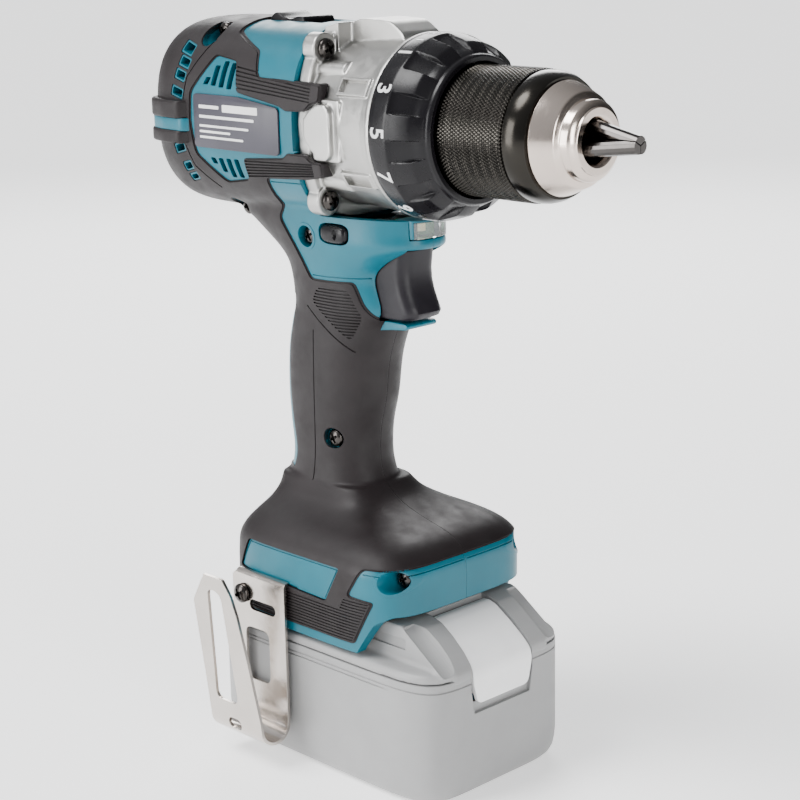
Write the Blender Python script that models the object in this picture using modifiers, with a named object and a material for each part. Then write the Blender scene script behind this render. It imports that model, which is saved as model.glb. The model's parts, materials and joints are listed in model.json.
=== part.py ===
"""Cordless drill driver with its battery pack.

Frame: the pack's underside is z = 0, +X points along the chuck, +Z is up, and the housings
meet at y = 0. The drill's axis is the line y = 0, z = AXIS_Z. All sizes are in metres.
"""

from math import cos, hypot, pi, radians, sin

import bmesh
import bpy
from mathutils import Matrix, Vector

MM = 0.001
GAP = 0.3 * MM                 # clearance between neighbouring pieces

# Driving dimensions
AXIS_Z = 232.5 * MM            # height of the spindle axis
RUBBER_DEPTH = 2.0 * MM        # thickness of the overmoulded grip
WALL = 4.6 * MM                # from the outer skin to the cavity
RING_REAR_X, RING_REAR_R = 20.7 * MM, 31.6 * MM
RING_FRONT_X, RING_FRONT_R = 42.0 * MM, 23.9 * MM
CHUCK_REAR_X, CHUCK_R = 44.5 * MM, 21.8 * MM
COLLAR_REAR_X, COLLAR_FRONT_X = 70.3 * MM, 78.4 * MM
NOSE_FRONT_X = 92.3 * MM
JAW_TIP_X, JAW_R, JAW_LENGTH = 108.9 * MM, 2.6 * MM, 34.0 * MM
JAW_ANGLE = radians(12)
JAW_TIP_OFFSET = 0.45 * MM
FOOT_BOTTOM_Z = 51.0 * MM
BATTERY_TOP_Z = 62.5 * MM
BATTERY_MIDDLE_X, BATTERY_HALF_LENGTH, BATTERY_HALF_WIDTH = -8.0 * MM, 58.0 * MM, 37.5 * MM
BUTTON_HALF_WIDTH = 16.6 * MM
TRIGGER_HALF_WIDTH = 8.6 * MM
CLIP_HALF_THICKNESS = 0.65 * MM
CLIP_PLATE_Y = -40.1 * MM      # middle of the plate, outside the foot's right side
CLIP_BEND_R, CLIP_BEND_Z = 6.4 * MM, 15.5 * MM
CLIP_LOW_X, CLIP_HIGH_X = -48.0 * MM, -19.5 * MM
CLIP_SCREW_X, CLIP_SCREW_Z = -42.0 * MM, 60.5 * MM
GEAR_MODULE = 0.9 * MM
SUN_TEETH, PLANET_TEETH, RING_TEETH = 9, 18, 45

TEAL = (0.045, 0.36, 0.47)
RUBBER = (0.035, 0.032, 0.034)
SILVER = (0.62, 0.61, 0.58)
NICKEL = (0.52, 0.47, 0.42)
STEEL = (0.36, 0.35, 0.34)
BLACK = (0.02, 0.02, 0.022)
GREY = (0.09, 0.088, 0.11)
TRIGGER_GREY = (0.05, 0.045, 0.05)
LIGHT_GREY = (0.52, 0.52, 0.52)
COPPER = (0.55, 0.25, 0.10)
GREEN = (0.03, 0.18, 0.07)
CLEAR = (0.75, 0.78, 0.78)

for old in list(bpy.data.objects):
    bpy.data.objects.remove(old, do_unlink=True)
PARTS = bpy.data.collections.new("cordless_drill")
CUTTERS = bpy.data.collections.new("cutters")
bpy.context.scene.collection.children.link(PARTS)
bpy.context.scene.collection.children.link(CUTTERS)
MATERIALS = {}


def material(name, colour, roughness, metallic=0.0):
    """One Principled material per finish, shared by the pieces that have it."""
    if name not in MATERIALS:
        made = bpy.data.materials.new(name)
        made.use_nodes = True
        shader = made.node_tree.nodes["Principled BSDF"]
        shader.inputs["Base Color"].default_value = (*colour, 1)
        shader.inputs["Roughness"].default_value = roughness
        shader.inputs["Metallic"].default_value = metallic
        made.diffuse_color = (*colour, 1)
        MATERIALS[name] = made
    return MATERIALS[name]


def teal():
    return material("teal_plastic", TEAL, 0.45)


def rubber():
    return material("rubber", RUBBER, 0.7)


def cast():
    return material("cast_aluminium", SILVER, 0.35, 1.0)


def nickel():
    return material("nickel", NICKEL, 0.25, 1.0)


def steel():
    return material("steel", STEEL, 0.35, 1.0)


def black():
    return material("black_plastic", BLACK, 0.5)


def pack_grey():
    return material("pack_plastic", LIGHT_GREY, 0.5)


def copper():
    return material("copper", COPPER, 0.4, 1.0)


def board():
    return material("circuit_board", GREEN, 0.5)


# ---------------------------------------------------------------- making and cutting

def add(name, bm, look=None, smooth=True):
    """Turns a bmesh into an object: a part when it has a material, else a cutter."""
    bmesh.ops.recalc_face_normals(bm, faces=bm.faces)
    mesh = bpy.data.meshes.new(name)
    bm.to_mesh(mesh)
    bm.free()
    obj = bpy.data.objects.new(name, mesh)
    if look is None:
        CUTTERS.objects.link(obj)
        obj.hide_render = True
        obj.display_type = "WIRE"
    else:
        PARTS.objects.link(obj)
        mesh.materials.append(look)
        if smooth:
            mesh.shade_smooth()
            mesh.set_sharp_from_angle(angle=radians(35))
    return obj


def boolean(obj, operation, others, solver="EXACT"):
    for other in others:
        step = obj.modifiers.new(operation.lower(), "BOOLEAN")
        step.operation = operation
        step.solver = solver
        step.object = other
    return obj


def cut(obj, *others, solver="EXACT"):
    return boolean(obj, "DIFFERENCE", others, solver)


def keep(obj, *others, solver="EXACT"):
    return boolean(obj, "INTERSECT", others, solver)


def join(obj, *others, solver="EXACT"):
    return boolean(obj, "UNION", others, solver)


def box(name, low, high, look=None, bevel=0.0):
    """A block between two corners in millimetres, with rounded edges when bevel is given."""
    bm = bmesh.new()
    bmesh.ops.create_cube(bm, size=1)
    size = [(h - l) * MM for l, h in zip(low, high)]
    middle = [(h + l) / 2 * MM for l, h in zip(low, high)]
    bmesh.ops.scale(bm, vec=size, verts=bm.verts)
    bmesh.ops.translate(bm, vec=middle, verts=bm.verts)
    obj = add(name, bm, look)
    if bevel:
        edge = obj.modifiers.new("rounded_edges", "BEVEL")
        edge.width = bevel * MM
        edge.segments = 2
    return obj


def prism(name, outline, axis, low, high, look=None):
    """A flat outline, in millimetres, pushed along an axis from low to high.

    The outline is (x, z) for axis Y, (y, z) for axis X and (x, y) for axis Z.
    """
    place = {
        "X": lambda a, b, t: (t, a, b),
        "Y": lambda a, b, t: (a, t, b),
        "Z": lambda a, b, t: (a, b, t),
    }[axis]
    bm = bmesh.new()
    ends = [
        bm.faces.new([bm.verts.new(Vector(place(a, b, t)) * MM) for a, b in outline])
        for t in (low, high)
    ]
    count = len(outline)
    rings = [list(end.verts) for end in ends]
    for i in range(count):
        j = (i + 1) % count
        bm.faces.new((rings[0][i], rings[0][j], rings[1][j], rings[1][i]))
    return add(name, bm, look)


def turned(name, profile, look=None, steps=32, centre=(0, 0, AXIS_Z / MM), axis="X"):
    """A profile of (radius, place along the axis), in millimetres, turned about that axis.

    A profile whose two ends have no radius is solid, and any other is closed into a ring.
    """
    solid = profile[0][0] == 0 and profile[-1][0] == 0
    around = list(zip(profile, profile[1:] + profile[:1]))
    area = sum(a[0] * b[1] - b[0] * a[1] for a, b in around)
    points = profile if area < 0 else profile[::-1]
    mesh = bpy.data.meshes.new(name)
    links = [(i, i + 1) for i in range(len(points) - 1)]
    if not solid:
        links.append((len(points) - 1, 0))
    mesh.from_pydata([(r * MM, 0, x * MM) for r, x in points], links, [])
    obj = bpy.data.objects.new(name, mesh)
    turn = obj.modifiers.new("turn", "SCREW")
    turn.steps = turn.render_steps = steps
    turn.use_merge_vertices = True
    turn.merge_threshold = 0.00001
    obj.location = Vector(centre) * MM
    if axis == "X":
        obj.rotation_euler = (0, pi / 2, 0)
    elif axis == "Y":
        obj.rotation_euler = (-pi / 2, 0, 0)
    if look is None:
        CUTTERS.objects.link(obj)
        obj.hide_render = True
        obj.display_type = "WIRE"
    else:
        PARTS.objects.link(obj)
        mesh.materials.append(look)
    return obj


def rod(name, radius, low, high, look=None, steps=24, centre=(0, 0, AXIS_Z / MM), axis="X"):
    profile = [(0, high), (radius, high), (radius, low), (0, low)]
    return turned(name, profile, look, steps, centre, axis)


def tube(name, outer, inner, low, high, look=None, steps=32, centre=(0, 0, AXIS_Z / MM), axis="X"):
    profile = [(outer, high), (outer, low), (inner, low), (inner, high)]
    return turned(name, profile, look, steps, centre, axis)


def loft(name, rings, look=None):
    """A closed skin through rings of equally many points, with flat ends."""
    bm = bmesh.new()
    made = [[bm.verts.new(point) for point in ring] for ring in rings]
    for first, second in zip(made, made[1:]):
        for i in range(len(first)):
            j = (i + 1) % len(first)
            bm.faces.new((first[i], first[j], second[j], second[i]))
    bm.faces.new(made[0])
    bm.faces.new(made[-1])
    return add(name, bm, look)


def superellipse(half_a, half_b, power, count):
    """Points around a rounded oblong: power 2 is an ellipse, and more is squarer."""
    points = []
    for i in range(count):
        turn = 2 * pi * (i + 0.5) / count
        c, s = cos(turn), sin(turn)
        points.append((
            half_a * abs(c) ** (2 / power) * (1 if c > 0 else -1),
            half_b * abs(s) ** (2 / power) * (1 if s > 0 else -1),
        ))
    return points


def inset(outline, distance):
    """The outline with each edge moved inwards."""
    area = sum(a[0] * b[1] - b[0] * a[1] for a, b in zip(outline, outline[1:] + outline[:1]))
    side = 1 if area > 0 else -1
    moved = []
    for before, here, after in zip(outline[-1:] + outline[:-1], outline, outline[1:] + outline[:1]):
        normals = []
        for a, b in ((before, here), (here, after)):
            length = hypot(b[0] - a[0], b[1] - a[1])
            normals.append((-(b[1] - a[1]) / length * side, (b[0] - a[0]) / length * side))
        (ax, ay), (bx, by) = normals
        scale = distance / (1 + ax * bx + ay * by)
        moved.append((here[0] + (ax + bx) * scale, here[1] + (ay + by) * scale))
    return moved


# ---------------------------------------------------------------- the outer skin

# Head: place along X, half width, half height, in millimetres
HEAD_SECTIONS = (
    (-100.5, 19.0, 21.0), (-98.5, 25.5, 27.5), (-94.0, 29.0, 31.5), (-86.0, 31.2, 34.0),
    (-70.0, 31.8, 34.6), (-40.0, 31.8, 34.6), (-16.0, 31.8, 34.2), (-3.4, 31.8, 34.2),
)
# Handle: height, middle in X, half depth, half width, in millimetres
HANDLE_SECTIONS = (
    (212.0, -29.0, 47.0, 21.0), (200.0, -28.5, 47.5, 20.5), (195.0, -24.5, 43.5, 20.3),
    (190.0, -20.5, 39.5, 19.8), (184.0, -21.5, 29.0, 18.8), (178.0, -22.4, 24.0, 18.0),
    (167.0, -20.5, 25.5, 17.0), (160.0, -23.7, 24.5, 16.8), (148.0, -27.4, 23.6, 16.5),
    (133.0, -29.1, 23.0, 16.0), (121.0, -30.3, 21.1, 15.5), (109.0, -30.0, 20.3, 15.3),
    (98.0, -29.5, 22.5, 16.5), (84.0, -29.0, 23.0, 17.0),
)
# Foot: height, rear X, front X, half width, in millimetres
FOOT_SECTIONS = (
    (66.0, -58.5, 33.5, 38.5), (76.0, -58.0, 33.5, 38.5), (81.0, -57.0, 33.0, 38.2),
    (85.0, -55.0, 30.0, 36.0), (88.5, -52.8, 24.0, 31.5), (92.0, -51.0, 10.0, 25.0),
    (96.0, -50.3, -1.0, 19.5), (101.0, -50.2, -7.0, 16.5),
)


def skin(name, offset, bottom, look=None, around=20):
    """The drill's outer form, grown by offset millimetres, as head, handle and foot joined."""
    rings = []
    for x, half_width, half_height in HEAD_SECTIONS:
        x += offset * (-1 if x < -95 else 0)
        rings.append([
            Vector((x, a, b)) * MM + Vector((0, 0, AXIS_Z))
            for a, b in superellipse(half_width + offset, half_height + offset, 2.7, around)
        ])
    head = loft(name, rings, look)
    rings = []
    for z, middle, half_depth, half_width in HANDLE_SECTIONS:
        rings.append([
            Vector((middle + a, b, z)) * MM
            for a, b in superellipse(half_depth + offset, half_width + offset, 2.4, around)
        ])
    handle = loft(name + "_handle", rings)
    rings = []
    for z, rear, front, half_width in ((bottom, *FOOT_SECTIONS[0][1:]), *FOOT_SECTIONS):
        rings.append([
            Vector(((rear + front) / 2 + a, b, z + (offset if z > 70 else 0))) * MM
            for a, b in superellipse((front - rear) / 2 + offset, half_width + offset, 5, around)
        ])
    foot = loft(name + "_foot", rings)
    return join(head, handle, foot)


# The side view of the rubber: bumper, two arms beside the gear case, handle and foot top.
RUBBER_OUTLINE = [
    (-112, 280), (-56, 280), (-56, 263), (-39, 257), (-36, 248.5), (-3.6, 247.5),
    (-3.6, 241.4), (-8, 240.5), (-10.5, 238), (-21, 237.5), (-24, 239), (-47, 242.5),
    (-49, 253), (-60.5, 254.5), (-72, 241.5), (-72.5, 231), (-70.5, 219.5), (-57.5, 210),
    (-44.5, 212), (-45, 219.5), (-23, 221.3), (-21, 223.2), (-11, 223.2), (-8.5, 221),
    (-3.6, 221), (-3.6, 216), (-12, 214.5), (-34, 213), (-34, 204), (-38, 198),
    (-25, 177), (-1, 177.5), (3.5, 169), (8, 163), (14, 157), (45, 157), (45, 81.5),
    (-46, 81.5), (-50, 67), (-50, 40), (-112, 40),
]
# What the housings leave free in front: the gear case, with a tongue at mid height.
FRONT_OUTLINE = [
    (60, 290), (-17.5, 290), (-17.5, 237.2), (-11.3, 236), (-11.3, 225), (-17.5, 223.5),
    (-17.5, 200.4), (60, 200.4),
]
# The name plate's seat, seen from the side
PLATE_OUTLINE = [
    (-70.6, 222), (-24, 222), (-24, 238.2), (-30, 239), (-46, 241.2), (-70.6, 241.2),
]
# The foot's lower edge rises in front of the pack's shoulder.
SKIRT_OUTLINE = [(14.7, 40), (14.7, 51), (22, 62.5), (28, 66), (60, 66), (60, 40)]


def side_box(name, side):
    """Everything on one side of the joint plane."""
    near, far = (0.15, 60) if side > 0 else (-60, -0.15)
    return box(name, (-130, near, -5), (130, far, 300))


def screw(name, place, axis, length, head_r=3.4, shank_r=1.8, look=None):
    """A pan-head screw whose head faces along +axis from place, with a cross recess."""
    head = 2.4
    profile = [
        (0, head), (head_r * 0.6, head), (head_r, head * 0.45), (head_r, 0),
        (shank_r, 0), (shank_r, -length), (0, -length - 0.8),
    ]
    made = turned(name, profile, look or black(), 12, (0, 0, 0))
    aim = {"X": 0, "Y": pi / 2, "-Y": -pi / 2}[axis]
    made.rotation_euler = (Matrix.Rotation(aim, 4, "Z") @ Matrix.Rotation(pi / 2, 4, "Y")).to_euler()
    made.location = Vector(place) * MM
    return made


# Clamshell screws: place in X and Z, and how far the recess floor is from the joint plane
HOUSING_SCREWS = (
    ("head_rear_screw", -69.0, 262.0, 15.0), ("head_lower_screw", -63.0, 199.0, 12.0),
    ("head_middle_screw", -25.6, 192.3, 15.5), ("handle_screw", -20.0, 118.0, 11.5),
    ("foot_screw", 27.5, 78.5, 24.0),
)
CASE_SCREW_Y, CASE_SCREW_Z = 20.5, 26.0
VENT_SLOTS = [(-63 + 4.2 * i, 244.5, 251.5) for i in range(4)]
VENT_SLOTS += [(-62 + 4.2 * i, 213.0, 217.5) for i in range(4)]


def housing_cutters():
    """Every opening that both housings share."""
    cutters = [
        skin("cavity", -WALL / MM, 36.0, around=12),
        prism("front_opening", FRONT_OUTLINE, "Y", -60, 60),
        prism("skirt_opening", SKIRT_OUTLINE, "Y", -60, 60),
        rod("gear_case_clearance", 31.9, -17.9, 63, steps=32),
        box("trigger_slot", (-14, -9.1, 163.5), (30, 9.1, 190.3)),
        box("led_opening", (-6, -8.7, 193.6), (30, 8.7, 210)),
        box("direction_slot", (-18.6, -40, 190.6), (-4.4, 40, 198.4)),
        box("speed_slot", (-55.6, -7.9, 259.0), (-26.5, 7.9, 275)),
        prism("plate_seat_right", PLATE_OUTLINE, "Y", -40, -30.9),
        prism("plate_seat_left", PLATE_OUTLINE, "Y", 30.9, 40),
        box("clip_seat", (-48, -41, 56.5), (-15, -37.6, 68.5)),
        box("pad_seat", (-48, 38.2, 56.5), (-15, 41, 68.5)),
        rod("clip_screw_seat", 2.2, -45, -30, steps=8, axis="Y",
            centre=(CLIP_SCREW_X / MM, 0, CLIP_SCREW_Z / MM)),
    ]
    for y in (-CASE_SCREW_Y, CASE_SCREW_Y):
        for z in (-CASE_SCREW_Z, CASE_SCREW_Z):
            cutters.append(rod("case_screw_hole", 2.6, -25, -10, steps=10,
                               centre=(0, y, AXIS_Z / MM + z)))
    for name, x, z, depth in HOUSING_SCREWS:
        for side in (-1, 1):
            low, high = sorted((side * depth, side * 45))
            cutters.append(rod(name + "_recess", 3.9, low, high, steps=12,
                               centre=(x, 0, z), axis="Y"))
        cutters.append(rod(name + "_hole", 2.1, -depth - 1, depth + 1, steps=8,
                           centre=(x, 0, z), axis="Y"))
    for x, low, high in VENT_SLOTS:
        for side in (-1, 1):
            near, far = sorted((side * 20, side * 40))
            cutters.append(box("vent", (x, near, low), (x + 2.1, far, high)))
    return cutters


def make_housings():
    """Two plastic half shells and the two rubber skins moulded over them.

    Their long chains of cuts use the MANIFOLD solver, because EXACT loses a shell here.
    """
    solver = "MANIFOLD"
    cutters = housing_cutters()
    recess = prism("rubber_recess", RUBBER_OUTLINE, "Y", -70, 70)
    cut(recess, skin("recess_floor", -RUBBER_DEPTH / MM - 0.3, 33.0))
    rubber_floor = skin("rubber_floor", -RUBBER_DEPTH / MM, 34.0)
    rubber_area = prism("rubber_area", inset(RUBBER_OUTLINE, 0.3), "Y", -70, 70)
    spine = box("spine_strip", (-70, -5.5, 104), (-44, 5.5, 190))
    seat = rod("grip_clearance", 29.6, -17.5, 60, steps=32)
    trigger_room = box("grip_trigger_room", (-14, -9.1, 163.5), (30, 9.1, 190.3))
    screws = [
        rod("grip_screw_room", 3.9, -60, 60, steps=12, centre=(x, 0, z), axis="Y")
        for _, x, z, _ in HOUSING_SCREWS
    ]
    for word, side in (("right", -1), ("left", 1)):
        half = side_box("half_" + word, side)
        shell = skin("housing_" + word, 0.0, FOOT_BOTTOM_Z / MM, teal())
        cut(shell, *cutters, recess, solver=solver)
        keep(shell, half, solver=solver)
        grip = skin("grip_" + word, 0.0, FOOT_BOTTOM_Z / MM, rubber())
        keep(grip, rubber_area, solver=solver)
        cut(grip, rubber_floor, seat, spine, trigger_room, *screws, solver=solver)
        keep(grip, half, solver=solver)


def make_head_details():
    """Levers, lens and plates set into the housings."""
    for word, side in (("right", -1), ("left", 1)):
        near, far = sorted((side * 31.25, side * 31.85))
        prism("name_plate_" + word, inset(PLATE_OUTLINE, 0.4), "Y", near, far,
              material("label_grey", GREY, 0.4))
    lever_side = [(-55.2, 262.6), (-55.2, 266.5), (-51.5, 269), (-47, 267.6), (-40, 267.6),
                  (-36, 266.5), (-36, 262.6)]
    lever = prism("speed_lever", lever_side, "Y", -7.4, 7.4, black())
    join(lever, box("speed_lever_arm", (-49, -3, 260.4), (-44, 3, 263)))
    lever_side = [(-11.5 + a, 194.5 + b) for a, b in superellipse(6.4, 3.4, 3, 20)]
    prism("direction_lever", lever_side, "Y", -19.4, 19.4, black())
    lens_plan = [(12.6 + b, a) for a, b in superellipse(8.3, 6.2, 4, 20)]
    lens = prism("led_lens", lens_plan, "Z", 194.0, 200.2, material("clear_plastic", CLEAR, 0.05))
    keep(lens, box("lens_cut", (9.0, -12, 190), (30, 12, 204)))
    box("led_board", (6.6, -6.5, 194.2), (8.4, 6.5, 200), board())


def make_trigger():
    outline = [(-13, 189.6), (13.0, 189.8), (12.6, 186), (12.9, 179), (14.6, 172), (16.6, 167),
               (14, 164.6), (-2, 164.2), (-2, 172), (-13, 172)]
    half = TRIGGER_HALF_WIDTH / MM
    trigger = prism("trigger", outline, "Y", -half, half, material("trigger_grey", TRIGGER_GREY, 0.5))
    edge = trigger.modifiers.new("rounded_edges", "BEVEL")
    edge.width = 1.2 * MM
    edge.segments = 2
    box("switch_body", (-33, -half, 168.5), (-19, half, 189.0), black())


def make_gear_case():
    """Cast case: a turned barrel and nose, a flange with four lugs, and raised pads."""
    case = turned("gear_case", [
        (31.4, 20.4), (31.4, 16.5), (30.6, 14.5), (29.0, -11.5), (29.0, -17.2), (26.6, -17.2),
        (26.6, 13.0), (9.0, 15.0), (9.0, 23.0), (13.6, 23.0), (13.6, 35.0), (16.5, 35.0),
        (16.5, 20.4),
    ], cast())
    ears = []
    for i, (a, b) in enumerate([(y, z) for y in (-1, 1) for z in (-1, 1)]):
        ears.append(rod(f"lug_{i}", 5.6, -17.2, -11.5, steps=12,
                        centre=(0, a * CASE_SCREW_Y, AXIS_Z / MM + b * CASE_SCREW_Z)))
        low, high = sorted((a * 14, a * 26.1)), sorted((b * 14, b * CASE_SCREW_Z))
        ears.append(box(f"lug_web_{i}", (-16.9, low[0], AXIS_Z / MM + high[0]),
                        (-11.9, low[1], AXIS_Z / MM + high[1])))
    top = [(-14.5, 257.3), (-14.5, 265.6), (-5, 268.2), (9, 267.6), (15.2, 263.5), (15.2, 257.3)]
    ears.append(prism("top_boss", top, "Y", -9, 9))
    side = [(-10.8, 229.9), (-10.8, 235.6), (-7.8, 238.2), (-4.6, 240.6), (0, 240.6), (1.9, 239),
            (2.4, 224), (0, 222), (-3, 222), (-8.6, 226.4)]
    ears.append(prism("side_lug_right", side, "Y", -32.3, -26.9))
    ears.append(prism("side_lug_left", side, "Y", 26.9, 32.3))
    join(case, *ears, solver="MANIFOLD")
    cut(case, rod("case_bore", 26.6, -20, 12.9), solver="MANIFOLD")
    for y in (-CASE_SCREW_Y, CASE_SCREW_Y):
        for z in (-CASE_SCREW_Z, CASE_SCREW_Z):
            cut(case, rod("lug_hole", 2.2, -20, -8, steps=8, centre=(0, y, AXIS_Z / MM + z)),
                solver="MANIFOLD")
    names = {(-1, 1): "upper_right", (1, 1): "upper_left", (-1, -1): "lower_right", (1, -1): "lower_left"}
    for (a, b), word in names.items():
        screw("case_screw_" + word, (-11.2, a * CASE_SCREW_Y, AXIS_Z / MM + b * CASE_SCREW_Z), "X", 12)
    tube("gearbox_plate", 26.2, 9.5, -22.5, -18.2, steel(), 28)


def gear_outline(teeth, inward=False, add_on=0.75, root=1.0, share=0.40):
    """A gear's outline: each tooth is a trapezoid that narrows towards its tip."""
    pitch_r = GEAR_MODULE / MM * teeth / 2
    sign = -1 if inward else 1
    tip, base = pitch_r + sign * add_on * 0.9, pitch_r - sign * root * 0.9
    points = []
    for i in range(teeth):
        centre = 2 * pi * i / teeth
        at_base, at_tip = share * 1.35 * pi / teeth, share * 0.62 * pi / teeth
        for r, a in ((base, -at_base), (tip, -at_tip), (tip, at_tip), (base, at_base)):
            points.append((r * cos(centre + a), r * sin(centre + a)))
    return points


def gear(name, teeth, low, high, look, phase=0.0, centre=(0.0, 0.0), bore=None):
    """A spur gear about an axis along X, its first tooth turned by phase from +Y."""
    c, s = cos(phase), sin(phase)
    outline = [(a * c - b * s, a * s + b * c) for a, b in gear_outline(teeth)]
    made = prism(name, outline, "X", low, high, look)
    made.location = Vector((0, centre[0], AXIS_Z / MM + centre[1])) * MM
    if bore:
        cut(made, rod(name + "_bore", bore, low - 1, high + 1, steps=12,
                      centre=(0, centre[0], AXIS_Z / MM + centre[1])))
    return made


def make_gears():
    """One planetary stage: sun on the motor shaft, three planets on the spindle's carrier."""
    orbit = GEAR_MODULE / MM * (SUN_TEETH + PLANET_TEETH) / 2
    outline = gear_outline(RING_TEETH, inward=True)
    ring = rod("ring_gear", 24.8, -7.0, 5.0, steel(), 32)
    cut(ring, prism("ring_teeth", [(a, b + AXIS_Z / MM) for a, b in outline], "X", -9, 7))
    pins = []
    for i in range(3):
        turn = 2 * pi * i / 3
        centre = (orbit * cos(turn), orbit * sin(turn))
        half_tooth = pi / PLANET_TEETH
        gear(f"planet_gear_{i + 1}", PLANET_TEETH, -5.5, 4.5, steel(),
             turn + half_tooth, centre, bore=2.3)
        pins.append(rod(f"planet_pin_{i + 1}", 2.0, -5.0, 6.5, steps=12,
                        centre=(0, centre[0], AXIS_Z / MM + centre[1])))
    carrier = turned("planet_carrier", [(17.0, 9.0), (17.0, 5.2), (7.0, 5.2), (7.0, 9.0)], steel(), 32)
    join(carrier, *pins)


def make_motor():
    tube("motor_stator", 25.6, 15.6, -78, -46, copper(), 28)
    tube("rotor_core", 15.0, 4.3, -79, -45, steel(), 24)
    shaft = rod("motor_shaft", 4.0, -93.5, -16.0, steel(), 16)
    sun = gear("sun_gear", SUN_TEETH, -17.0, 4.0, None)
    join(shaft, sun)
    outline = []
    for i in range(11):
        for k, r in enumerate((21.5, 21.5, 8.0, 8.0)):
            turn = 2 * pi * (i + (0, 0.3, 0.42, 0.88)[k]) / 11
            outline.append((r * cos(turn), r * sin(turn) + AXIS_Z / MM))
    fan = prism("cooling_fan", outline, "X", -42.5, -37.5, black())
    cut(fan, rod("fan_bore", 4.3, -45, -35, steps=16))
    tube("rear_bearing", 9.5, 4.3, -92.0, -86.5, steel(), 24)
    tube("front_bearing", 9.2, 4.3, -22.0, -18.5, steel(), 24)
    tube("sensor_board", 23.5, 10.0, -84.0, -82.4, board(), 24)


def make_spindle_and_chuck():
    rod("spindle", 6.7, 5.6, 58.0, steel(), 24)
    tube("spindle_bearing", 13.2, 7.2, 24.0, 31.5, steel(), 24)
    body = turned("chuck_body", [
        (0, NOSE_FRONT_X / MM), (10.6, NOSE_FRONT_X / MM), (12.6, 90.6), (13.2, 88.6),
        (14.8, 87.3), (18.5, 78.8), (17.9, 78.4), (17.9, 68.2), (12.9, 68.2), (12.9, 60.0),
        (18.3, 60.0), (18.3, CHUCK_REAR_X / MM), (0, CHUCK_REAR_X / MM),
    ], nickel())
    cut(body, rod("tool_bore", 6.9, 64.5, 95, steps=20), rod("spindle_bore", 7.0, 40, 60.3),
        rod("screw_bore", 3.4, 58, 66, steps=12), solver="MANIFOLD")
    turned("chuck_screw", [(0, 67.4), (4.6, 67.4), (4.6, 64.8), (3.0, 64.8), (3.0, 58.4), (0, 58.4)],
           steel(), 16)
    turned("chuck_sleeve", [
        (CHUCK_R / MM, COLLAR_REAR_X / MM), (CHUCK_R / MM, CHUCK_REAR_X / MM + 0.8),
        (21.0, CHUCK_REAR_X / MM + 0.2), (18.7, CHUCK_REAR_X / MM + 0.2), (18.7, 68.4),
        (18.3, 68.4), (18.3, COLLAR_FRONT_X / MM), (19.4, COLLAR_FRONT_X / MM), (21.0, 74.5),
        (21.5, COLLAR_REAR_X / MM + 0.3),
    ], black())
    tube("chuck_nut", 18.2, 14.0, 60.4, 67.8, steel(), 28)
    for i in range(3):
        turn = 2 * pi * i / 3 + pi / 2
        make_jaw(f"jaw_{i + 1}", turn, body)


def make_jaw(name, turn, body):
    """A round jaw on a slanting axis, cut to a third of a circle where the three meet."""
    outward = Vector((0, cos(turn), sin(turn)))
    forward = Vector((cos(JAW_ANGLE), 0, 0)) - outward * sin(JAW_ANGLE)
    tip = Vector((JAW_TIP_X, 0, AXIS_Z)) + outward * JAW_TIP_OFFSET
    aim = forward.to_track_quat("Z", "X").to_matrix().to_4x4()
    for radius, extra, look in ((JAW_R, 0.003, steel()), (JAW_R + GAP, 0.060, None)):
        bm = bmesh.new()
        length = JAW_LENGTH + extra
        bmesh.ops.create_cone(bm, cap_ends=True, segments=14, radius1=radius, radius2=radius, depth=length)
        middle = tip - forward * ((JAW_LENGTH - extra) / 2 if look else length / 2 - 0.01)
        bmesh.ops.transform(bm, matrix=Matrix.Translation(middle) @ aim, verts=bm.verts)
        if look:
            planes = [(Vector((JAW_TIP_X, 0, AXIS_Z)), Vector((1, 0, 0)))]
            for lean in (-pi / 6, pi / 6):
                normal = Vector((0, cos(turn + lean), sin(turn + lean)))
                planes.append((Vector((0, 0, AXIS_Z)) + normal * GAP / 2, -normal))
            for point, normal in planes:
                bmesh.ops.bisect_plane(bm, geom=bm.verts[:] + bm.edges[:] + bm.faces[:], dist=1e-7,
                                       plane_co=point, plane_no=normal, clear_outer=True)
                rim = [edge for edge in bm.edges if edge.is_boundary]
                bmesh.ops.holes_fill(bm, edges=rim, sides=0)
            add(name, bm, look)
        else:
            cut(body, add(name + "_bore", bm), solver="MANIFOLD")


def make_torque_ring():
    turned("torque_ring", [
        (22.7, RING_FRONT_X / MM), (RING_FRONT_R / MM, RING_FRONT_X / MM), (28.0, 33.5),
        (RING_REAR_R / MM, 27.5), (RING_REAR_R / MM, RING_REAR_X / MM), (29.0, RING_REAR_X / MM),
        (29.0, 27.0), (25.0, 34.5), (22.7, 38.0),
    ], black(), 36)
    points = [(19.4 * cos(a), a / (2 * pi) * 3.3 + 22.2, 19.4 * sin(a))
              for a in (2 * pi * i / 14 for i in range(14 * 3 + 1))]
    coil = bpy.data.curves.new("clutch_spring", "CURVE")
    coil.dimensions = "3D"
    line = coil.splines.new("POLY")
    line.points.add(len(points) - 1)
    for spot, (y, x, z) in zip(line.points, points):
        spot.co = (x * MM, y * MM, z * MM + AXIS_Z, 1)
    coil.bevel_depth = 1.1 * MM
    coil.bevel_resolution = 0
    coil.use_fill_caps = True
    coil.materials.append(steel())
    PARTS.objects.link(bpy.data.objects.new("clutch_spring", coil))


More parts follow.
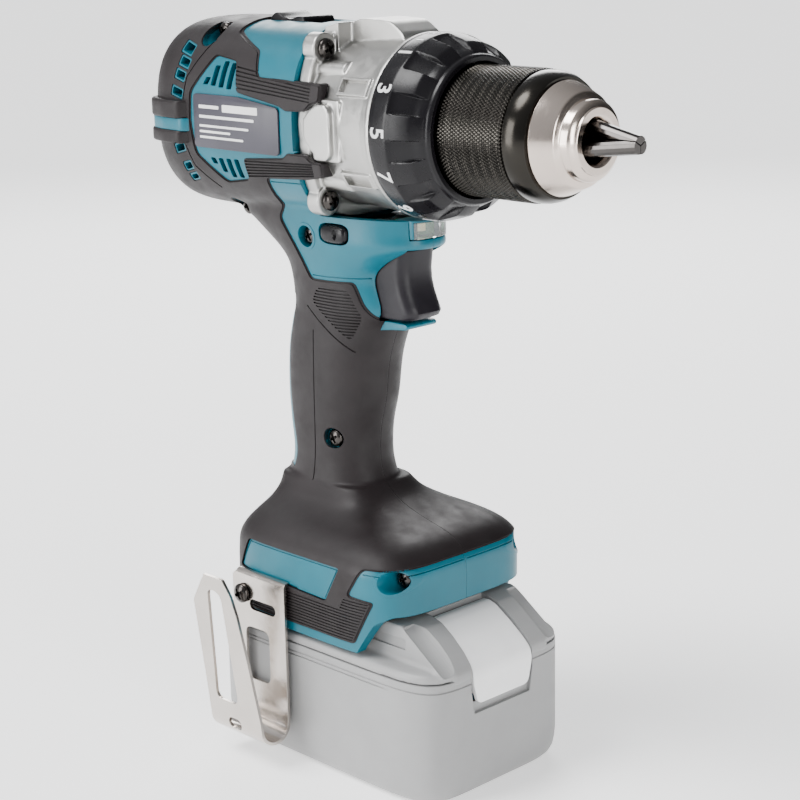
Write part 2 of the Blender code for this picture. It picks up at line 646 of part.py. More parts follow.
def make_clip():
    """Spring-steel belt hook: a plate on the foot's right side, a bend, and a leaf outside."""
    half, plate, radius, low = (size / MM for size in
                                (CLIP_HALF_THICKNESS, CLIP_PLATE_Y, CLIP_BEND_R, CLIP_BEND_Z))
    middle = [(plate, 67.6), (plate, low)]
    middle += [(plate - radius + radius * cos(a), low + radius * sin(a)) for a in
               (-pi * k / 10 for k in range(1, 10))]
    middle += [(plate - 2 * radius, low), (-60.4, 73.6)]
    offset = []
    for i, (y, z) in enumerate(middle):
        before, after = middle[max(i - 1, 0)], middle[min(i + 1, len(middle) - 1)]
        dy, dz = after[0] - before[0], after[1] - before[1]
        length = hypot(dy, dz)
        offset.append((-dz / length * half, dy / length * half))
    outline = [(y + a, z + b) for (y, z), (a, b) in zip(middle, offset)]
    outline += [(y - a, z - b) for (y, z), (a, b) in list(zip(middle, offset))[::-1]]
    clip = prism("belt_clip", outline, "X", CLIP_LOW_X / MM, CLIP_HIGH_X / MM, nickel())
    leaf_front = [(-25, 80), (-20.4, 30), (-19.6, 10), (-10, 10), (-10, 80)]
    leaf_rear = [(-60, 60), (-47.8, 62), (-40.5, 72.4), (-40, 80), (-60, 80)]
    cut(clip,
        box("clip_plate_slot", (-40.3, -42.5, 28.4), (-28.4, -38.5, 47.8)),
        prism("clip_leaf_slot", [(-41.8, 24), (-31.8, 24), (-32, 65), (-38, 65)], "Y", -62, -50),
        prism("clip_leaf_front", leaf_front, "Y", -70, -50),
        prism("clip_leaf_rear", leaf_rear, "Y", -70, -50),
        rod("clip_screw_hole", 2.4, -45, -35, steps=12, axis="Y",
            centre=(CLIP_SCREW_X / MM, 0, CLIP_SCREW_Z / MM)))
    screw("clip_screw", (CLIP_SCREW_X / MM, -41.1, CLIP_SCREW_Z / MM), "-Y", 5.4, 3.6, 1.8)


def make_battery():
    """Lower case, cover with the rails and sloping front, cells, contacts and button."""
    middle, half_length, half_width = (size / MM for size in (
        BATTERY_MIDDLE_X, BATTERY_HALF_LENGTH, BATTERY_HALF_WIDTH))
    half_button = BUTTON_HALF_WIDTH / MM
    half_pocket = half_button + 2 * GAP / MM

    def outline(grow):
        return [(middle + a, b) for a, b in
                superellipse(half_length + grow, half_width + grow, 7, 36)]

    case = loft("battery_case", [
        [Vector((x, y, z)) * MM for x, y in outline(grow)]
        for z, grow in ((0, -5.5), (1.2, -3.0), (4.0, -0.9), (8.0, 0), (45.7, 0))
    ], pack_grey())
    cut(case, box("case_hollow", (-63.5, -35, 2.5), (46.5, 35, 60)))
    side = [(-65.5, 46.0), (50.0, 46.0), (49.2, 48.5), (31.0, 60.5), (28.5, BATTERY_TOP_Z / MM),
            (-44, BATTERY_TOP_Z / MM), (-44, 50.3), (-65.5, 50.3)]
    cover = prism("battery_cover", side, "Y", -29.4, 29.4, pack_grey())
    join(cover, box("cover_lip", (-65.3, -36.8, 46.0), (46.5, 36.8, 49.6)))
    cut(cover, box("cover_hollow", (-41.5, -26, 40), (24, 26, 58.5)),
        box("front_hollow", (20, -26, 40), (40, 26, 50)),
        box("button_pocket", (26, -half_pocket, 44), (60, half_pocket, 70)),
        box("rail_right", (-70, -40, 54), (32, -28.2, 58)),
        box("rail_left", (-70, 28.2, 54), (32, 40, 58)),
        box("contact_slot", (-42, -13, 58), (-26, 13, 64)))
    cut(case, box("button_notch", (40, -half_pocket, 27.7), (55, half_pocket, 50)))
    button_side = [(44.0, 31.0), (50.4, 31.0), (50.4, 45), (49.2, 49), (33.0, 61.5),
                   (30.0, 61.5), (30.0, 57), (44.0, 48)]
    prism("release_button", button_side, "Y", -half_button, half_button,
          material("button_white", (0.85, 0.85, 0.85), 0.5))
    box("cell_pack", (-60, -32, 3), (38, 32, 43.5), material("cell_wrap", (0.05, 0.25, 0.45), 0.5), 2)
    box("pack_board", (-41, -25, 46.5), (22, 25, 48.1), board())
    box("pack_contacts", (-40, -11, 50), (-28, 11, 59.8), copper())


def make_foot_inside():
    box("controller_board", (-44, -27, 73.6), (18, 27, 75.4), board())
    box("controller_block", (-28, -13, 66.8), (8, 13, 73.2), black())
    box("terminal_block", (-46, -14, 64.2), (-32, 14, 72.5), black())


def make_screws():
    for name, x, z, depth in HOUSING_SCREWS:
        screw(name, (x, -depth - 0.35, z), "-Y", depth * 1.8, 3.3, 1.7)


make_housings()
make_head_details()
make_trigger()
make_gear_case()
make_gears()
make_motor()
make_spindle_and_chuck()
make_torque_ring()
make_clip()
make_battery()
make_foot_inside()
make_screws()
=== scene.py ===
"""Cordless drill driver: the detailed surfaces, materials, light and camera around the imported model.

Lengths in the shape functions are millimetres in the model's frame: +X towards the chuck,
+Y to the tool's left, +Z up from the underside of the battery pack. Side views are (x, z).
"""

import json
from math import cos, hypot, pi, radians, sin, tau

import bmesh
import bpy
import numpy as np
from mathutils import Matrix, Vector

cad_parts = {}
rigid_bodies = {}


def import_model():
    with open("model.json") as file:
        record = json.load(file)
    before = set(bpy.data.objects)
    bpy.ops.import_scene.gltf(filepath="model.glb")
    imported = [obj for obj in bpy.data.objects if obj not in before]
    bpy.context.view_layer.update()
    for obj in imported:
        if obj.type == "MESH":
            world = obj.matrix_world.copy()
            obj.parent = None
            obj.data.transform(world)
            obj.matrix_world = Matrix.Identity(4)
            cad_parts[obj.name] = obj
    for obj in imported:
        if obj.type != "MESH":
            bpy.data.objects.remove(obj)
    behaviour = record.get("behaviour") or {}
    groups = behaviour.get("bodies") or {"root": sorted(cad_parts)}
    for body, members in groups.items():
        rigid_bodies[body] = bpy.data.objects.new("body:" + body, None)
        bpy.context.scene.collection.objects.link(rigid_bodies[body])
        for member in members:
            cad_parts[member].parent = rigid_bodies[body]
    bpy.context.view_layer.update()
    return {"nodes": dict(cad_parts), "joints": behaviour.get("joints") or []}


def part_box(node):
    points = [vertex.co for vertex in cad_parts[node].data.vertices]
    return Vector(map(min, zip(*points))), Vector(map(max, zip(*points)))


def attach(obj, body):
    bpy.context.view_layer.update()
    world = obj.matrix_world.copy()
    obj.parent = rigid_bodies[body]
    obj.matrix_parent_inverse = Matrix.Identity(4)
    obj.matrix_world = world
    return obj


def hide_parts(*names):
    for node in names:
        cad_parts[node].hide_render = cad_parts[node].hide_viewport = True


MM = 0.001
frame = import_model()


def span(node):
    """A node's lowest and highest corners in millimetres."""
    low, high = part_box(node)
    return low / MM, high / MM


AXIS_Z = next(joint for joint in frame["joints"] if joint["name"] == "spindle_turn")["pos_m"][2] / MM
RING_HIGH = span("torque_ring")[1]
SLEEVE_HIGH = span("chuck_sleeve")[1]
CHUCK_LOW, CHUCK_HIGH = span("chuck_body")
CASE_LOW, CASE_HIGH = span("battery_case")
FOOT_BOTTOM = span("housing_right")[0].z
PACK_TOP = span("battery_cover")[1].z
SWITCH_LOW, SWITCH_HIGH = span("direction_lever")
LENS_LOW, LENS_HIGH = span("led_lens")
HOUSING_FRONT = -17.5
TEAL_DROP = 0.7        # how far the teal skin lies below the rubber
RUBBER_DEPTH = 2.2


# Materials

def node_tree(name):
    made = bpy.data.materials.new(name)
    made.use_nodes = True
    tree = made.node_tree
    return made, tree, tree.nodes["Principled BSDF"]


def put(node, **values):
    """Sets a node's inputs; an underscore in a name stands for a space."""
    for name, value in values.items():
        node.inputs[name.replace("_", " ")].default_value = value
    return node


def add(tree, kind, **values):
    return put(tree.nodes.new("ShaderNode" + kind), **values)


def noise(tree, scale, detail=3.0, stretch=(1, 1, 1)):
    """Object-space noise, stretched along the axes where a finish has a direction."""
    place = add(tree, "TexCoord")
    mapping = add(tree, "Mapping", Scale=stretch)
    made = add(tree, "TexNoise", Scale=scale, Detail=detail)
    tree.links.new(place.outputs["Object"], mapping.inputs["Vector"])
    tree.links.new(mapping.outputs["Vector"], made.inputs["Vector"])
    return made.outputs["Fac"]


def ramp(tree, value, stops):
    made = add(tree, "ValToRGB")
    tree.links.new(value, made.inputs["Fac"])
    for element, (place, colour) in zip(made.color_ramp.elements, (stops[0], stops[-1])):
        element.position, element.color = place, (*colour, 1)
    for place, colour in stops[1:-1]:
        made.color_ramp.elements.new(place).color = (*colour, 1)
    return made.outputs["Color"]


def spread(tree, value, low, high):
    made = add(tree, "MapRange", From_Min=0.3, From_Max=0.7, To_Min=low, To_Max=high)
    tree.links.new(value, made.inputs["Value"])
    return made.outputs["Result"]


def bumped(tree, shader, height, distance, strength=1.0, rounding=0.0):
    """Fine relief from a height, on a normal whose edges are softened by rounding millimetres."""
    bump = add(tree, "Bump", Strength=strength, Distance=distance * MM)
    tree.links.new(height, bump.inputs["Height"])
    if rounding:
        soft = add(tree, "Bevel", Radius=rounding * MM)
        soft.samples = 4
        tree.links.new(soft.outputs["Normal"], bump.inputs["Normal"])
    tree.links.new(bump.outputs["Normal"], shader.inputs["Normal"])


def shade(colour, factor):
    return tuple(min(1.0, channel * factor) for channel in colour)


def plastic(name, colour, rough=(0.4, 0.5), grain=0.35, relief=0.05, rounding=0.3, specular=0.5,
            contrast=0.12):
    """Moulded plastic or rubber: fine spark-eroded grain, cloudy tone and uneven gloss."""
    made, tree, shader = node_tree(name)
    cloud = noise(tree, 55.0, 4.0)
    tone = ramp(tree, cloud, [(0.35, shade(colour, 1 - contrast)), (0.65, shade(colour, 1 + contrast))])
    tree.links.new(tone, shader.inputs["Base Color"])
    tree.links.new(spread(tree, noise(tree, 160.0, 5.0), *rough), shader.inputs["Roughness"])
    put(shader, Specular_IOR_Level=specular)
    bumped(tree, shader, noise(tree, 1.0 / (grain * MM), 2.0), relief, 0.6, rounding)
    return made


def metal(name, colour, rough=(0.2, 0.3), grain=0.6, relief=0.02, rounding=0.2, stretch=(1, 1, 1),
          contrast=0.06):
    """Bare or plated metal: machining or casting texture and slight staining."""
    made, tree, shader = node_tree(name)
    stain = noise(tree, 70.0, 5.0)
    tone = ramp(tree, stain, [(0.3, shade(colour, 1 - contrast)), (0.7, shade(colour, 1 + contrast))])
    tree.links.new(tone, shader.inputs["Base Color"])
    tree.links.new(spread(tree, noise(tree, 300.0, 4.0, stretch), *rough), shader.inputs["Roughness"])
    put(shader, Metallic=1.0)
    bumped(tree, shader, noise(tree, 1.0 / (grain * MM), 3.0, stretch), relief, 0.5, rounding)
    return made


def clear_plastic():
    made, tree, shader = node_tree("clear_plastic")
    put(shader, Base_Color=(0.96, 0.98, 0.98, 1), Transmission_Weight=0.9, IOR=1.45)
    tree.links.new(spread(tree, noise(tree, 400.0, 2.0), 0.03, 0.09), shader.inputs["Roughness"])
    bumped(tree, shader, noise(tree, 900.0, 1.0), 0.01, 0.3)
    return made


def copper_winding():
    """Enamelled wire: fine parallel turns."""
    made, tree, shader = node_tree("copper_winding")
    wave = add(tree, "TexWave", Scale=350.0, Distortion=0.6)
    tree.links.new(add(tree, "TexCoord").outputs["Object"], wave.inputs["Vector"])
    tone = ramp(tree, wave.outputs["Fac"], [(0.2, (0.25, 0.09, 0.03)), (0.8, (0.7, 0.33, 0.13))])
    tree.links.new(tone, shader.inputs["Base Color"])
    put(shader, Metallic=1.0)
    tree.links.new(spread(tree, noise(tree, 200.0), 0.25, 0.4), shader.inputs["Roughness"])
    bumped(tree, shader, wave.outputs["Fac"], 0.2)
    return made


def floor_material():
    made, tree, shader = node_tree("studio_floor")
    tone = ramp(tree, noise(tree, 1.5), [(0.3, (0.88, 0.88, 0.88)), (0.7, (0.90, 0.90, 0.90))])
    tree.links.new(tone, shader.inputs["Base Color"])
    tree.links.new(tone, shader.inputs["Emission Color"])
    put(shader, Emission_Strength=0.85)
    tree.links.new(spread(tree, noise(tree, 8.0), 0.7, 0.8), shader.inputs["Roughness"])
    return made


TEAL = plastic("teal_plastic", (0.0006, 0.110, 0.155), (0.30, 0.42), relief=0.03, specular=0.35,
               contrast=0.06)
RUBBER = plastic("rubber", (0.0095, 0.0066, 0.0072), (0.42, 0.58), 0.3, 0.06, 0.35, 0.28)
BLACK = plastic("black_plastic", (0.0036, 0.0031, 0.0042), (0.22, 0.32), 0.3, 0.02, 0.25, 0.24)
TRIGGER_GREY = plastic("trigger_grey", (0.011, 0.0095, 0.0125), (0.34, 0.46), 0.35, 0.05, 0.4, 0.25)
LABEL = plastic("label_film", (0.034, 0.032, 0.045), (0.3, 0.4), 0.3, 0.01, 0.1, 0.4)
PRINT = plastic("white_print", (0.72, 0.72, 0.72), (0.35, 0.5), 0.3, 0.01, 0.0, contrast=0.05)
PACK = plastic("pack_plastic", (0.29, 0.29, 0.29), (0.34, 0.48), 0.4, 0.04, 0.4, 0.4, contrast=0.04)
WHITE = plastic("button_white", (0.92, 0.92, 0.92), (0.34, 0.46), 0.4, 0.03, 0.4, contrast=0.03)
CAST = metal("cast_aluminium", (0.44, 0.435, 0.42), (0.30, 0.40), 0.3, 0.08, 0.15)
NICKEL = metal("satin_nickel", (0.60, 0.515, 0.455), (0.14, 0.22), 0.3, 0.008, 0.1, (6, 1, 1))
SPRING = metal("spring_steel", (0.56, 0.515, 0.475), (0.16, 0.26), 0.5, 0.012, 0.2)
STEEL = metal("ground_steel", (0.40, 0.39, 0.38), (0.2, 0.32), 0.3, 0.01, 0.15)
JAW_STEEL = metal("jaw_steel", (0.075, 0.07, 0.067), (0.12, 0.2), 0.3, 0.008, 0.25)
OXIDE = metal("black_oxide", (0.055, 0.05, 0.047), (0.18, 0.3), 0.4, 0.02, 0.15)
KNURL = metal("black_knurl", (0.028, 0.026, 0.023), (0.16, 0.24), 0.4, 0.004, 0.0)
CLEAR = clear_plastic()
COPPER = copper_winding()
CHIP = plastic("led_chip", (0.95, 0.80, 0.42), (0.3, 0.4), 0.3, 0.01, 0.1)


# Shapes

def joined(*shapes):
    """Several (points, faces) shapes as one."""
    points, faces = [], []
    for more_points, more_faces in shapes:
        start = len(points)
        points += list(more_points)
        faces += [tuple(start + i for i in face) for face in more_faces]
    return points, faces


def moved(shape, matrix):
    return [matrix @ Vector(point) for point in shape[0]], shape[1]


def placed(name, data):
    """A new object in the scene."""
    obj = bpy.data.objects.new(name, data)
    bpy.context.scene.collection.objects.link(obj)
    return obj


def make(name, shape, look=None, smooth_angle=35, bevel=0.0, segments=3):
    """A mesh object in metres from a shape in millimetres."""
    bm = bmesh.new()
    verts = [bm.verts.new(Vector(point) * MM) for point in shape[0]]
    for face in shape[1]:
        bm.faces.new([verts[i] for i in face])
    bmesh.ops.recalc_face_normals(bm, faces=bm.faces)
    mesh = bpy.data.meshes.new(name)
    bm.to_mesh(mesh)
    bm.free()
    obj = placed(name, mesh)
    if bevel:
        edge = obj.modifiers.new("rounded", "BEVEL")
        edge.width, edge.segments, edge.limit_method = bevel * MM, segments, "ANGLE"
        edge.angle_limit = radians(30)
        settle(obj)
    if look:
        dress(obj, look, smooth_angle)
    return obj


def dress(obj, look, smooth_angle=35):
    obj.data.materials.clear()
    obj.data.materials.append(look)
    obj.data.shade_smooth()
    obj.data.set_sharp_from_angle(angle=radians(smooth_angle))
    return obj


def settle(obj):
    """Replaces the object's mesh with what its modifiers make."""
    bpy.context.view_layer.update()
    graph = bpy.context.evaluated_depsgraph_get()
    mesh = bpy.data.meshes.new_from_object(obj.evaluated_get(graph))
    obj.modifiers.clear()
    obj.data = mesh
    return obj


def copied(obj, name):
    return placed(name, obj.data.copy())


def drop(*objs):
    for obj in objs:
        bpy.data.objects.remove(obj, do_unlink=True)


def boolean(obj, operation, *others):
    """Combines the object with others, each an object or a (points, faces) shape used only here."""
    tools = []
    for other in others:
        if isinstance(other, tuple):
            other = make("tool", other)
            tools.append(other)
        step = obj.modifiers.new(operation, "BOOLEAN")
        step.operation, step.solver, step.object = operation, "MANIFOLD", other
    settle(obj)
    drop(*tools)
    return obj


def cut(obj, *others):
    return boolean(obj, "DIFFERENCE", *others)


def keep(obj, *others):
    return boolean(obj, "INTERSECT", *others)


def join(obj, *others):
    return boolean(obj, "UNION", *others)


def soften(obj, voxel, passes):
    """Melts joined shapes into one skin with small fillets, as a mould or a casting has."""
    remesh = obj.modifiers.new("melt", "REMESH")
    remesh.mode, remesh.voxel_size = "VOXEL", voxel * MM
    smooth = obj.modifiers.new("smooth", "SMOOTH")
    smooth.factor, smooth.iterations = 0.5, passes
    return settle(obj)


def grown(obj, distance, name):
    """A copy whose surface is moved outwards along its normals by distance millimetres."""
    made = copied(obj, name)
    mesh = made.data
    points = np.empty(len(mesh.vertices) * 3, np.float32)
    normals = np.empty(len(mesh.vertices) * 3, np.float32)
    mesh.vertices.foreach_get("co", points)
    mesh.vertices.foreach_get("normal", normals)
    mesh.vertices.foreach_set("co", points + normals * distance * MM)
    mesh.update()
    return made


def rings(loops):
    """A closed skin through loops of equally many points."""
    count = len(loops[0])
    points = [point for loop in loops for point in loop]
    faces = []
    for k in range(0, len(points) - count, count):
        for i in range(count):
            j = (i + 1) % count
            faces.append((k + i, k + j, k + count + j, k + count + i))
    return points, faces + [tuple(range(count)), tuple(range(len(points) - count, len(points)))]


AXES = {"X": lambda a, b, t: (t, a, b), "Y": lambda a, b, t: (a, t, b), "Z": lambda a, b, t: (a, b, t)}


def prism(outline, axis, low, high):
    """An outline pushed along an axis: (x, z) for Y, (y, z) for X and (x, y) for Z."""
    place = AXES[axis]
    return rings([[place(a, b, t) for a, b in outline] for t in (low, high)])


def oblong(a0, b0, a1, b1):
    return [(a0, b0), (a1, b0), (a1, b1), (a0, b1)]


def block(low, high):
    return prism(oblong(low[0], low[1], high[0], high[1]), "Z", low[2], high[2])


def turned(profile, steps=96, centre=(0, 0, None), axis="X", ripple=None):
    """A closed outline of (radius, place) turned about an axis; ripple(i, angle) adds to a radius."""
    count = len(profile)
    middle = (centre[0], centre[1], AXIS_Z if centre[2] is None else centre[2])
    points, faces = [], []
    for k in range(steps):
        angle = tau * k / steps
        for i, (radius, place) in enumerate(profile):
            radius = max(radius + (ripple(i, angle) if ripple else 0.0), 0.0)
            a, b = radius * cos(angle), radius * sin(angle)
            offset = AXES[axis](a, b, place)
            points.append(tuple(m + o for m, o in zip(middle, offset)))
    for k in range(steps):
        after = (k + 1) % steps
        for i in range(count):
            j = (i + 1) % count
            faces.append((k * count + i, k * count + j, after * count + j, after * count + i))
    return points, faces


def lathe(rows, steps=48, centre=(0, 0, None), axis="X"):
    """A round closed skin through (radius, place) rows along an axis."""
    middle = (centre[0], centre[1], AXIS_Z if centre[2] is None else centre[2])
    loops = []
    for radius, place in rows:
        loop = [AXES[axis](radius * cos(tau * k / steps), radius * sin(tau * k / steps), place)
                for k in range(steps)]
        loops.append([tuple(m + o for m, o in zip(middle, point)) for point in loop])
    return rings(loops)


def rod(radius, low, high, centre=(0, 0, None), axis="X", steps=48):
    return lathe([(radius, low), (radius, high)], steps, centre, axis)


def superellipse(half_a, half_b, power, count, middle=(0, 0)):
    points = []
    for i in range(count):
        turn = tau * (i + 0.5) / count
        c, s = cos(turn), sin(turn)
        points.append((middle[0] + half_a * abs(c) ** (2 / power) * (1 if c > 0 else -1),
                       middle[1] + half_b * abs(s) ** (2 / power) * (1 if s > 0 else -1)))
    return points


def obround(centre, half_length, radius, count=24):
    """A slot with round ends, lying along the first axis."""
    points = []
    for i in range(count):
        turn = tau * i / count
        shift = half_length - radius
        points.append((centre[0] + (shift if cos(turn) > 0 else -shift) + radius * cos(turn),
                       centre[1] + radius * sin(turn)))
    return points


def rounded(outline, radius, steps=4):
    """The outline with each corner replaced by a curve that starts radius before it."""
    made = []
    for before, here, after in zip(outline[-1:] + outline[:-1], outline, outline[1:] + outline[:1]):
        here = Vector(here)
        back, on = Vector(before) - here, Vector(after) - here
        reach_back = min(radius, back.length * 0.45)
        reach_on = min(radius, on.length * 0.45)
        first, last = here + back.normalized() * reach_back, here + on.normalized() * reach_on
        for k in range(steps + 1):
            t = k / steps
            made.append(tuple(first * (1 - t) ** 2 + here * 2 * t * (1 - t) + last * t * t))
    return made


def inset(outline, distance):
    """The outline with each edge moved inwards."""
    pairs = list(zip(outline, outline[1:] + outline[:1]))
    side = 1 if sum(a[0] * b[1] - b[0] * a[1] for a, b in pairs) > 0 else -1
    made = []
    for before, here, after in zip(outline[-1:] + outline[:-1], outline, outline[1:] + outline[:1]):
        normals = []
        for a, b in ((before, here), (here, after)):
            length = hypot(b[0] - a[0], b[1] - a[1])
            normals.append((-(b[1] - a[1]) / length * side, (b[0] - a[0]) / length * side))
        (ax, ay), (bx, by) = normals
        scale = distance / max(1 + ax * bx + ay * by, 0.4)
        made.append((here[0] + (ax + bx) * scale, here[1] + (ay + by) * scale))
    return made


def between(rows, steps):
    """Rows of numbers joined by a smooth curve through each, in steps parts."""
    made = []
    padded = [rows[0], *rows, rows[-1]]
    for k in range(1, len(padded) - 2):
        for t in (step / steps for step in range(steps)):
            made.append(tuple(
                b + 0.5 * t * (c - a + t * (2 * a - 5 * b + 4 * c - d + t * (3 * (b - c) + d - a)))
                for a, b, c, d in zip(*padded[k - 1:k + 3])))
    return made + [tuple(rows[-1])]


def line_band(points, width, low, high):
    """A thin band that follows a line in the side view, as a cutter for a groove."""
    shapes = []
    for a, b in zip(points, points[1:]):
        direction = (Vector(b) - Vector(a)).normalized()
        side = Vector((-direction.y, direction.x)) * width / 2
        corners = [Vector(a) - side, Vector(b) - side, Vector(b) + side, Vector(a) + side]
        shapes.append(prism([tuple(corner) for corner in corners], "Y", low, high))
    return shapes


def ribs(left, right, count, width, low, high):
    """Grooves fanned between a left and a right (x, z low, z high) edge."""
    shapes = []
    for k in range(count):
        t = (k + 0.5) / count
        start = (left[0], left[1] + (left[2] - left[1]) * t)
        end = (right[0], right[1] + (right[2] - right[1]) * t)
        shapes += line_band([start, end], width, low, high)
    return shapes


def both_sides(shape):
    """A shape and its mirror image in the joint plane."""
    return joined(shape, ([(x, -y, z) for x, y, z in shape[0]], shape[1]))


def side_pair(outline, low, high):
    """An outline pushed into the right side, and its mirror image."""
    return both_sides(prism(outline, "Y", low, high))


def fit(obj, body, slot, *nodes):
    """Rides the piece on a body and hides the nodes that it stands for."""
    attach(obj, body)
    if nodes:
        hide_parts(*nodes)


# Housings and rubber

HEAD_SECTIONS = (
    (-100.5, 19.0, 21.0), (-98.5, 25.5, 27.5), (-94.0, 29.0, 31.5), (-86.0, 31.2, 34.0),
    (-70.0, 31.8, 34.6), (-40.0, 31.8, 34.6), (-16.0, 31.8, 34.2), (-3.4, 31.8, 34.2),
)
HANDLE_SECTIONS = (
    (212.0, -29.0, 47.0, 21.0), (200.0, -28.5, 47.5, 20.5), (195.0, -24.5, 43.5, 20.3),
    (190.0, -20.5, 39.5, 19.8), (184.0, -21.5, 29.0, 18.8), (178.0, -22.4, 24.0, 18.0),
    (167.0, -20.5, 25.5, 17.0), (160.0, -23.7, 24.5, 16.8), (148.0, -27.4, 23.6, 16.5),
    (133.0, -29.1, 23.0, 16.0), (121.0, -30.3, 21.1, 15.5), (109.0, -30.0, 20.3, 15.3),
    (98.0, -29.5, 22.5, 16.5), (84.0, -29.0, 23.0, 17.0),
)
FOOT_SECTIONS = (
    (66.0, -58.5, 33.5, 38.5), (76.0, -58.0, 33.5, 38.5), (81.0, -57.0, 33.0, 38.2),
    (85.0, -55.0, 30.0, 36.0), (88.5, -52.8, 24.0, 31.5), (92.0, -51.0, 10.0, 25.0),
    (96.0, -50.3, -1.0, 19.5), (101.0, -50.2, -7.0, 16.5),
)
# Rubber seen from the side: bumper, two arms beside the gear case, handle and foot.
RUBBER_OUTLINE = [
    (-112, 280), (-56, 280), (-56, 263), (-39, 257), (-36, 248.5), (-3.6, 247.5),
    (-3.6, 241.4), (-8, 240.5), (-10.5, 238), (-21, 237.5), (-24, 239), (-47, 242.5),
    (-49, 253), (-60.5, 254.5), (-72, 241.5), (-72.5, 231), (-70.5, 219.5), (-57.5, 210),
    (-44.5, 212), (-45, 219.5), (-23, 221.3), (-21, 223.2), (-11, 223.2), (-8.5, 221),
    (-3.6, 221), (-3.6, 216), (-12, 214.5), (-34, 213), (-34, 204), (-38, 198),
    (-25, 177), (-6.5, 177.3), (-3.0, 169.5), (0.5, 164.8), (4.5, 161.8), (9, 160.6), (45, 160.4),
    (45, 82.5), (18, 82.2),
    (11.5, 71.8), (22.5, 71.0), (14.0, 54.2), (-48, 54.2), (-50, 40), (-112, 40),
]
FOOT_PANEL = [(-42, 80.8), (7.6, 80.8), (0.2, 67.0), (-48.5, 68.8)]
FRONT_OUTLINE = [
    (60, 290), (-17.5, 290), (-17.5, 237.2), (-11.3, 236), (-11.3, 225), (-17.5, 223.5),
    (-17.5, 200.4), (60, 200.4),
]
PLATE_OUTLINE = [(-70.6, 221.6), (-24, 221.6), (-24, 238.6), (-30, 239.4), (-46, 241.4), (-70.6, 241.4)]
SKIRT_OUTLINE = [(14.7, 40), (14.7, 51), (22, 62.5), (28, 66), (60, 66), (60, 40)]
SCREW_PLACES = (
    ("head_rear_screw", -69.0, 262.0, 15.0), ("head_lower_screw", -63.0, 199.0, 12.0),
    ("head_middle_screw", -25.6, 192.3, 15.5), ("handle_screw", -20.0, 118.0, 11.5),
    ("foot_screw", 27.5, 78.5, 24.0),
)
CASE_SCREW_Y, CASE_SCREW_Z = 20.5, 26.0
# Small framed vents near the head's rear edge: middle in x and z, length and height
REAR_VENTS = (
    (-77.5, 256.3, 7.0, 4.2), (-77.2, 251.6, 6.4, 3.8), (-78.5, 247.0, 6.2, 3.8),
    (-79.8, 240.9, 6.8, 3.8), (-80.0, 220.8, 6.2, 3.6), (-77.5, 214.2, 5.2, 3.4),
    (-76.2, 210.2, 5.2, 2.8),
)
# Slots above and below the plate: first x, step, where the corners are from there, and heights
SIDE_VENTS = (
    (-65.8, 4.35, (0, 2.7, 4.2, 1.5), ((244.4, 247.0), (244.1, 251.2), (243.7, 252.8), (243.3, 252.4))),
    (-63.4, 4.3, (0.8, 3.4, 2.4, -0.2), ((216.2, 218.4), (213.4, 218.5), (211.8, 218.6), (212.0, 218.7))),
)
GRIP_PATCH = [(-22.5, 174.0), (-8.6, 174.4), (-3.4, 165.0), (-9.4, 155.8), (-25.8, 168.6)]
FOOT_PATCH = [(-47, 55.2), (13.4, 55.2), (20.8, 70.2), (9.5, 70.2), (7.5, 66.2), (-47, 66.2)]
TRIGGER_LIP = [(-6, 163.3), (11.4, 163.6), (12.8, 162.8), (12.2, 161.5), (5.0, 160.7), (-6, 159)]
RIB_REACH, RIB_HEIGHTS = 3.2, ((231.6, 238.2), (222.6, 227.4))
STRIPE_REACH, STRIPE_HEIGHTS = 2.4, (227.2, 231.8)
CLIP_SCREW_X, CLIP_SCREW_Z = -42, 60.5


def skin_shapes(offset, around, steps):
    """Head, handle and foot as three lofts, grown by offset."""
    head, handle, foot = [], [], []
    for x, half_width, half_height in between(HEAD_SECTIONS, steps):
        x += -offset if x < -95 else 0
        head.append([(x, a, b) for a, b in superellipse(
            half_width + offset, half_height + offset, 2.7, around, (0, AXIS_Z))])
    for z, middle, half_depth, half_width in between(HANDLE_SECTIONS, steps):
        handle.append([(a, b, z) for a, b in superellipse(
            half_depth + offset, half_width + offset, 2.4, around, (middle, 0))])
    lowest = (FOOT_BOTTOM - 3, *FOOT_SECTIONS[0][1:])
    for z, rear, front, half_width in between((lowest, *FOOT_SECTIONS), steps):
        z += offset if z > 70 else 0
        foot.append([(a, b, z) for a, b in superellipse(
            (front - rear) / 2 + offset, half_width + offset, 5, around, ((rear + front) / 2, 0))])
    return rings(head), rings(handle), rings(foot)


def whole_skin(name, offset, around, steps):
    head, handle, foot = (make(name, shape) for shape in skin_shapes(offset, around, steps))
    join(head, handle, foot)
    drop(handle, foot)
    return head


def bumper_rib(reach, front, low, high):
    """A band around the rear of the head, standing proud of it by reach."""
    plan = [(x, half_width + reach) for x, half_width, _ in HEAD_SECTIONS[:5] if x <= front]
    plan[0] = (plan[0][0] - reach, plan[0][1] - 2)
    side = HEAD_SECTIONS[4][1]
    plan += [(front - 3, side + reach), (front, side - 2)]
    return prism(rounded([(x, -y) for x, y in plan[::-1]] + plan, 2.0), "Z", low, high)


def rear_vents(more, low, high):
    """A box for each small vent and its mirror image, longer and higher by more."""
    shapes = []
    for x, z, length, height in REAR_VENTS:
        lean = radians(-14 if z > AXIS_Z else 14)
        right, top = (length + more) / 2, (height + more) / 2
        corners = rounded(oblong(-right, -top, right, top), 0.6, 2)
        shapes.append(side_pair([(x + a * cos(lean) - b * sin(lean), z + a * sin(lean) + b * cos(lean))
                                 for a, b in corners], low, high))
    return joined(*shapes)


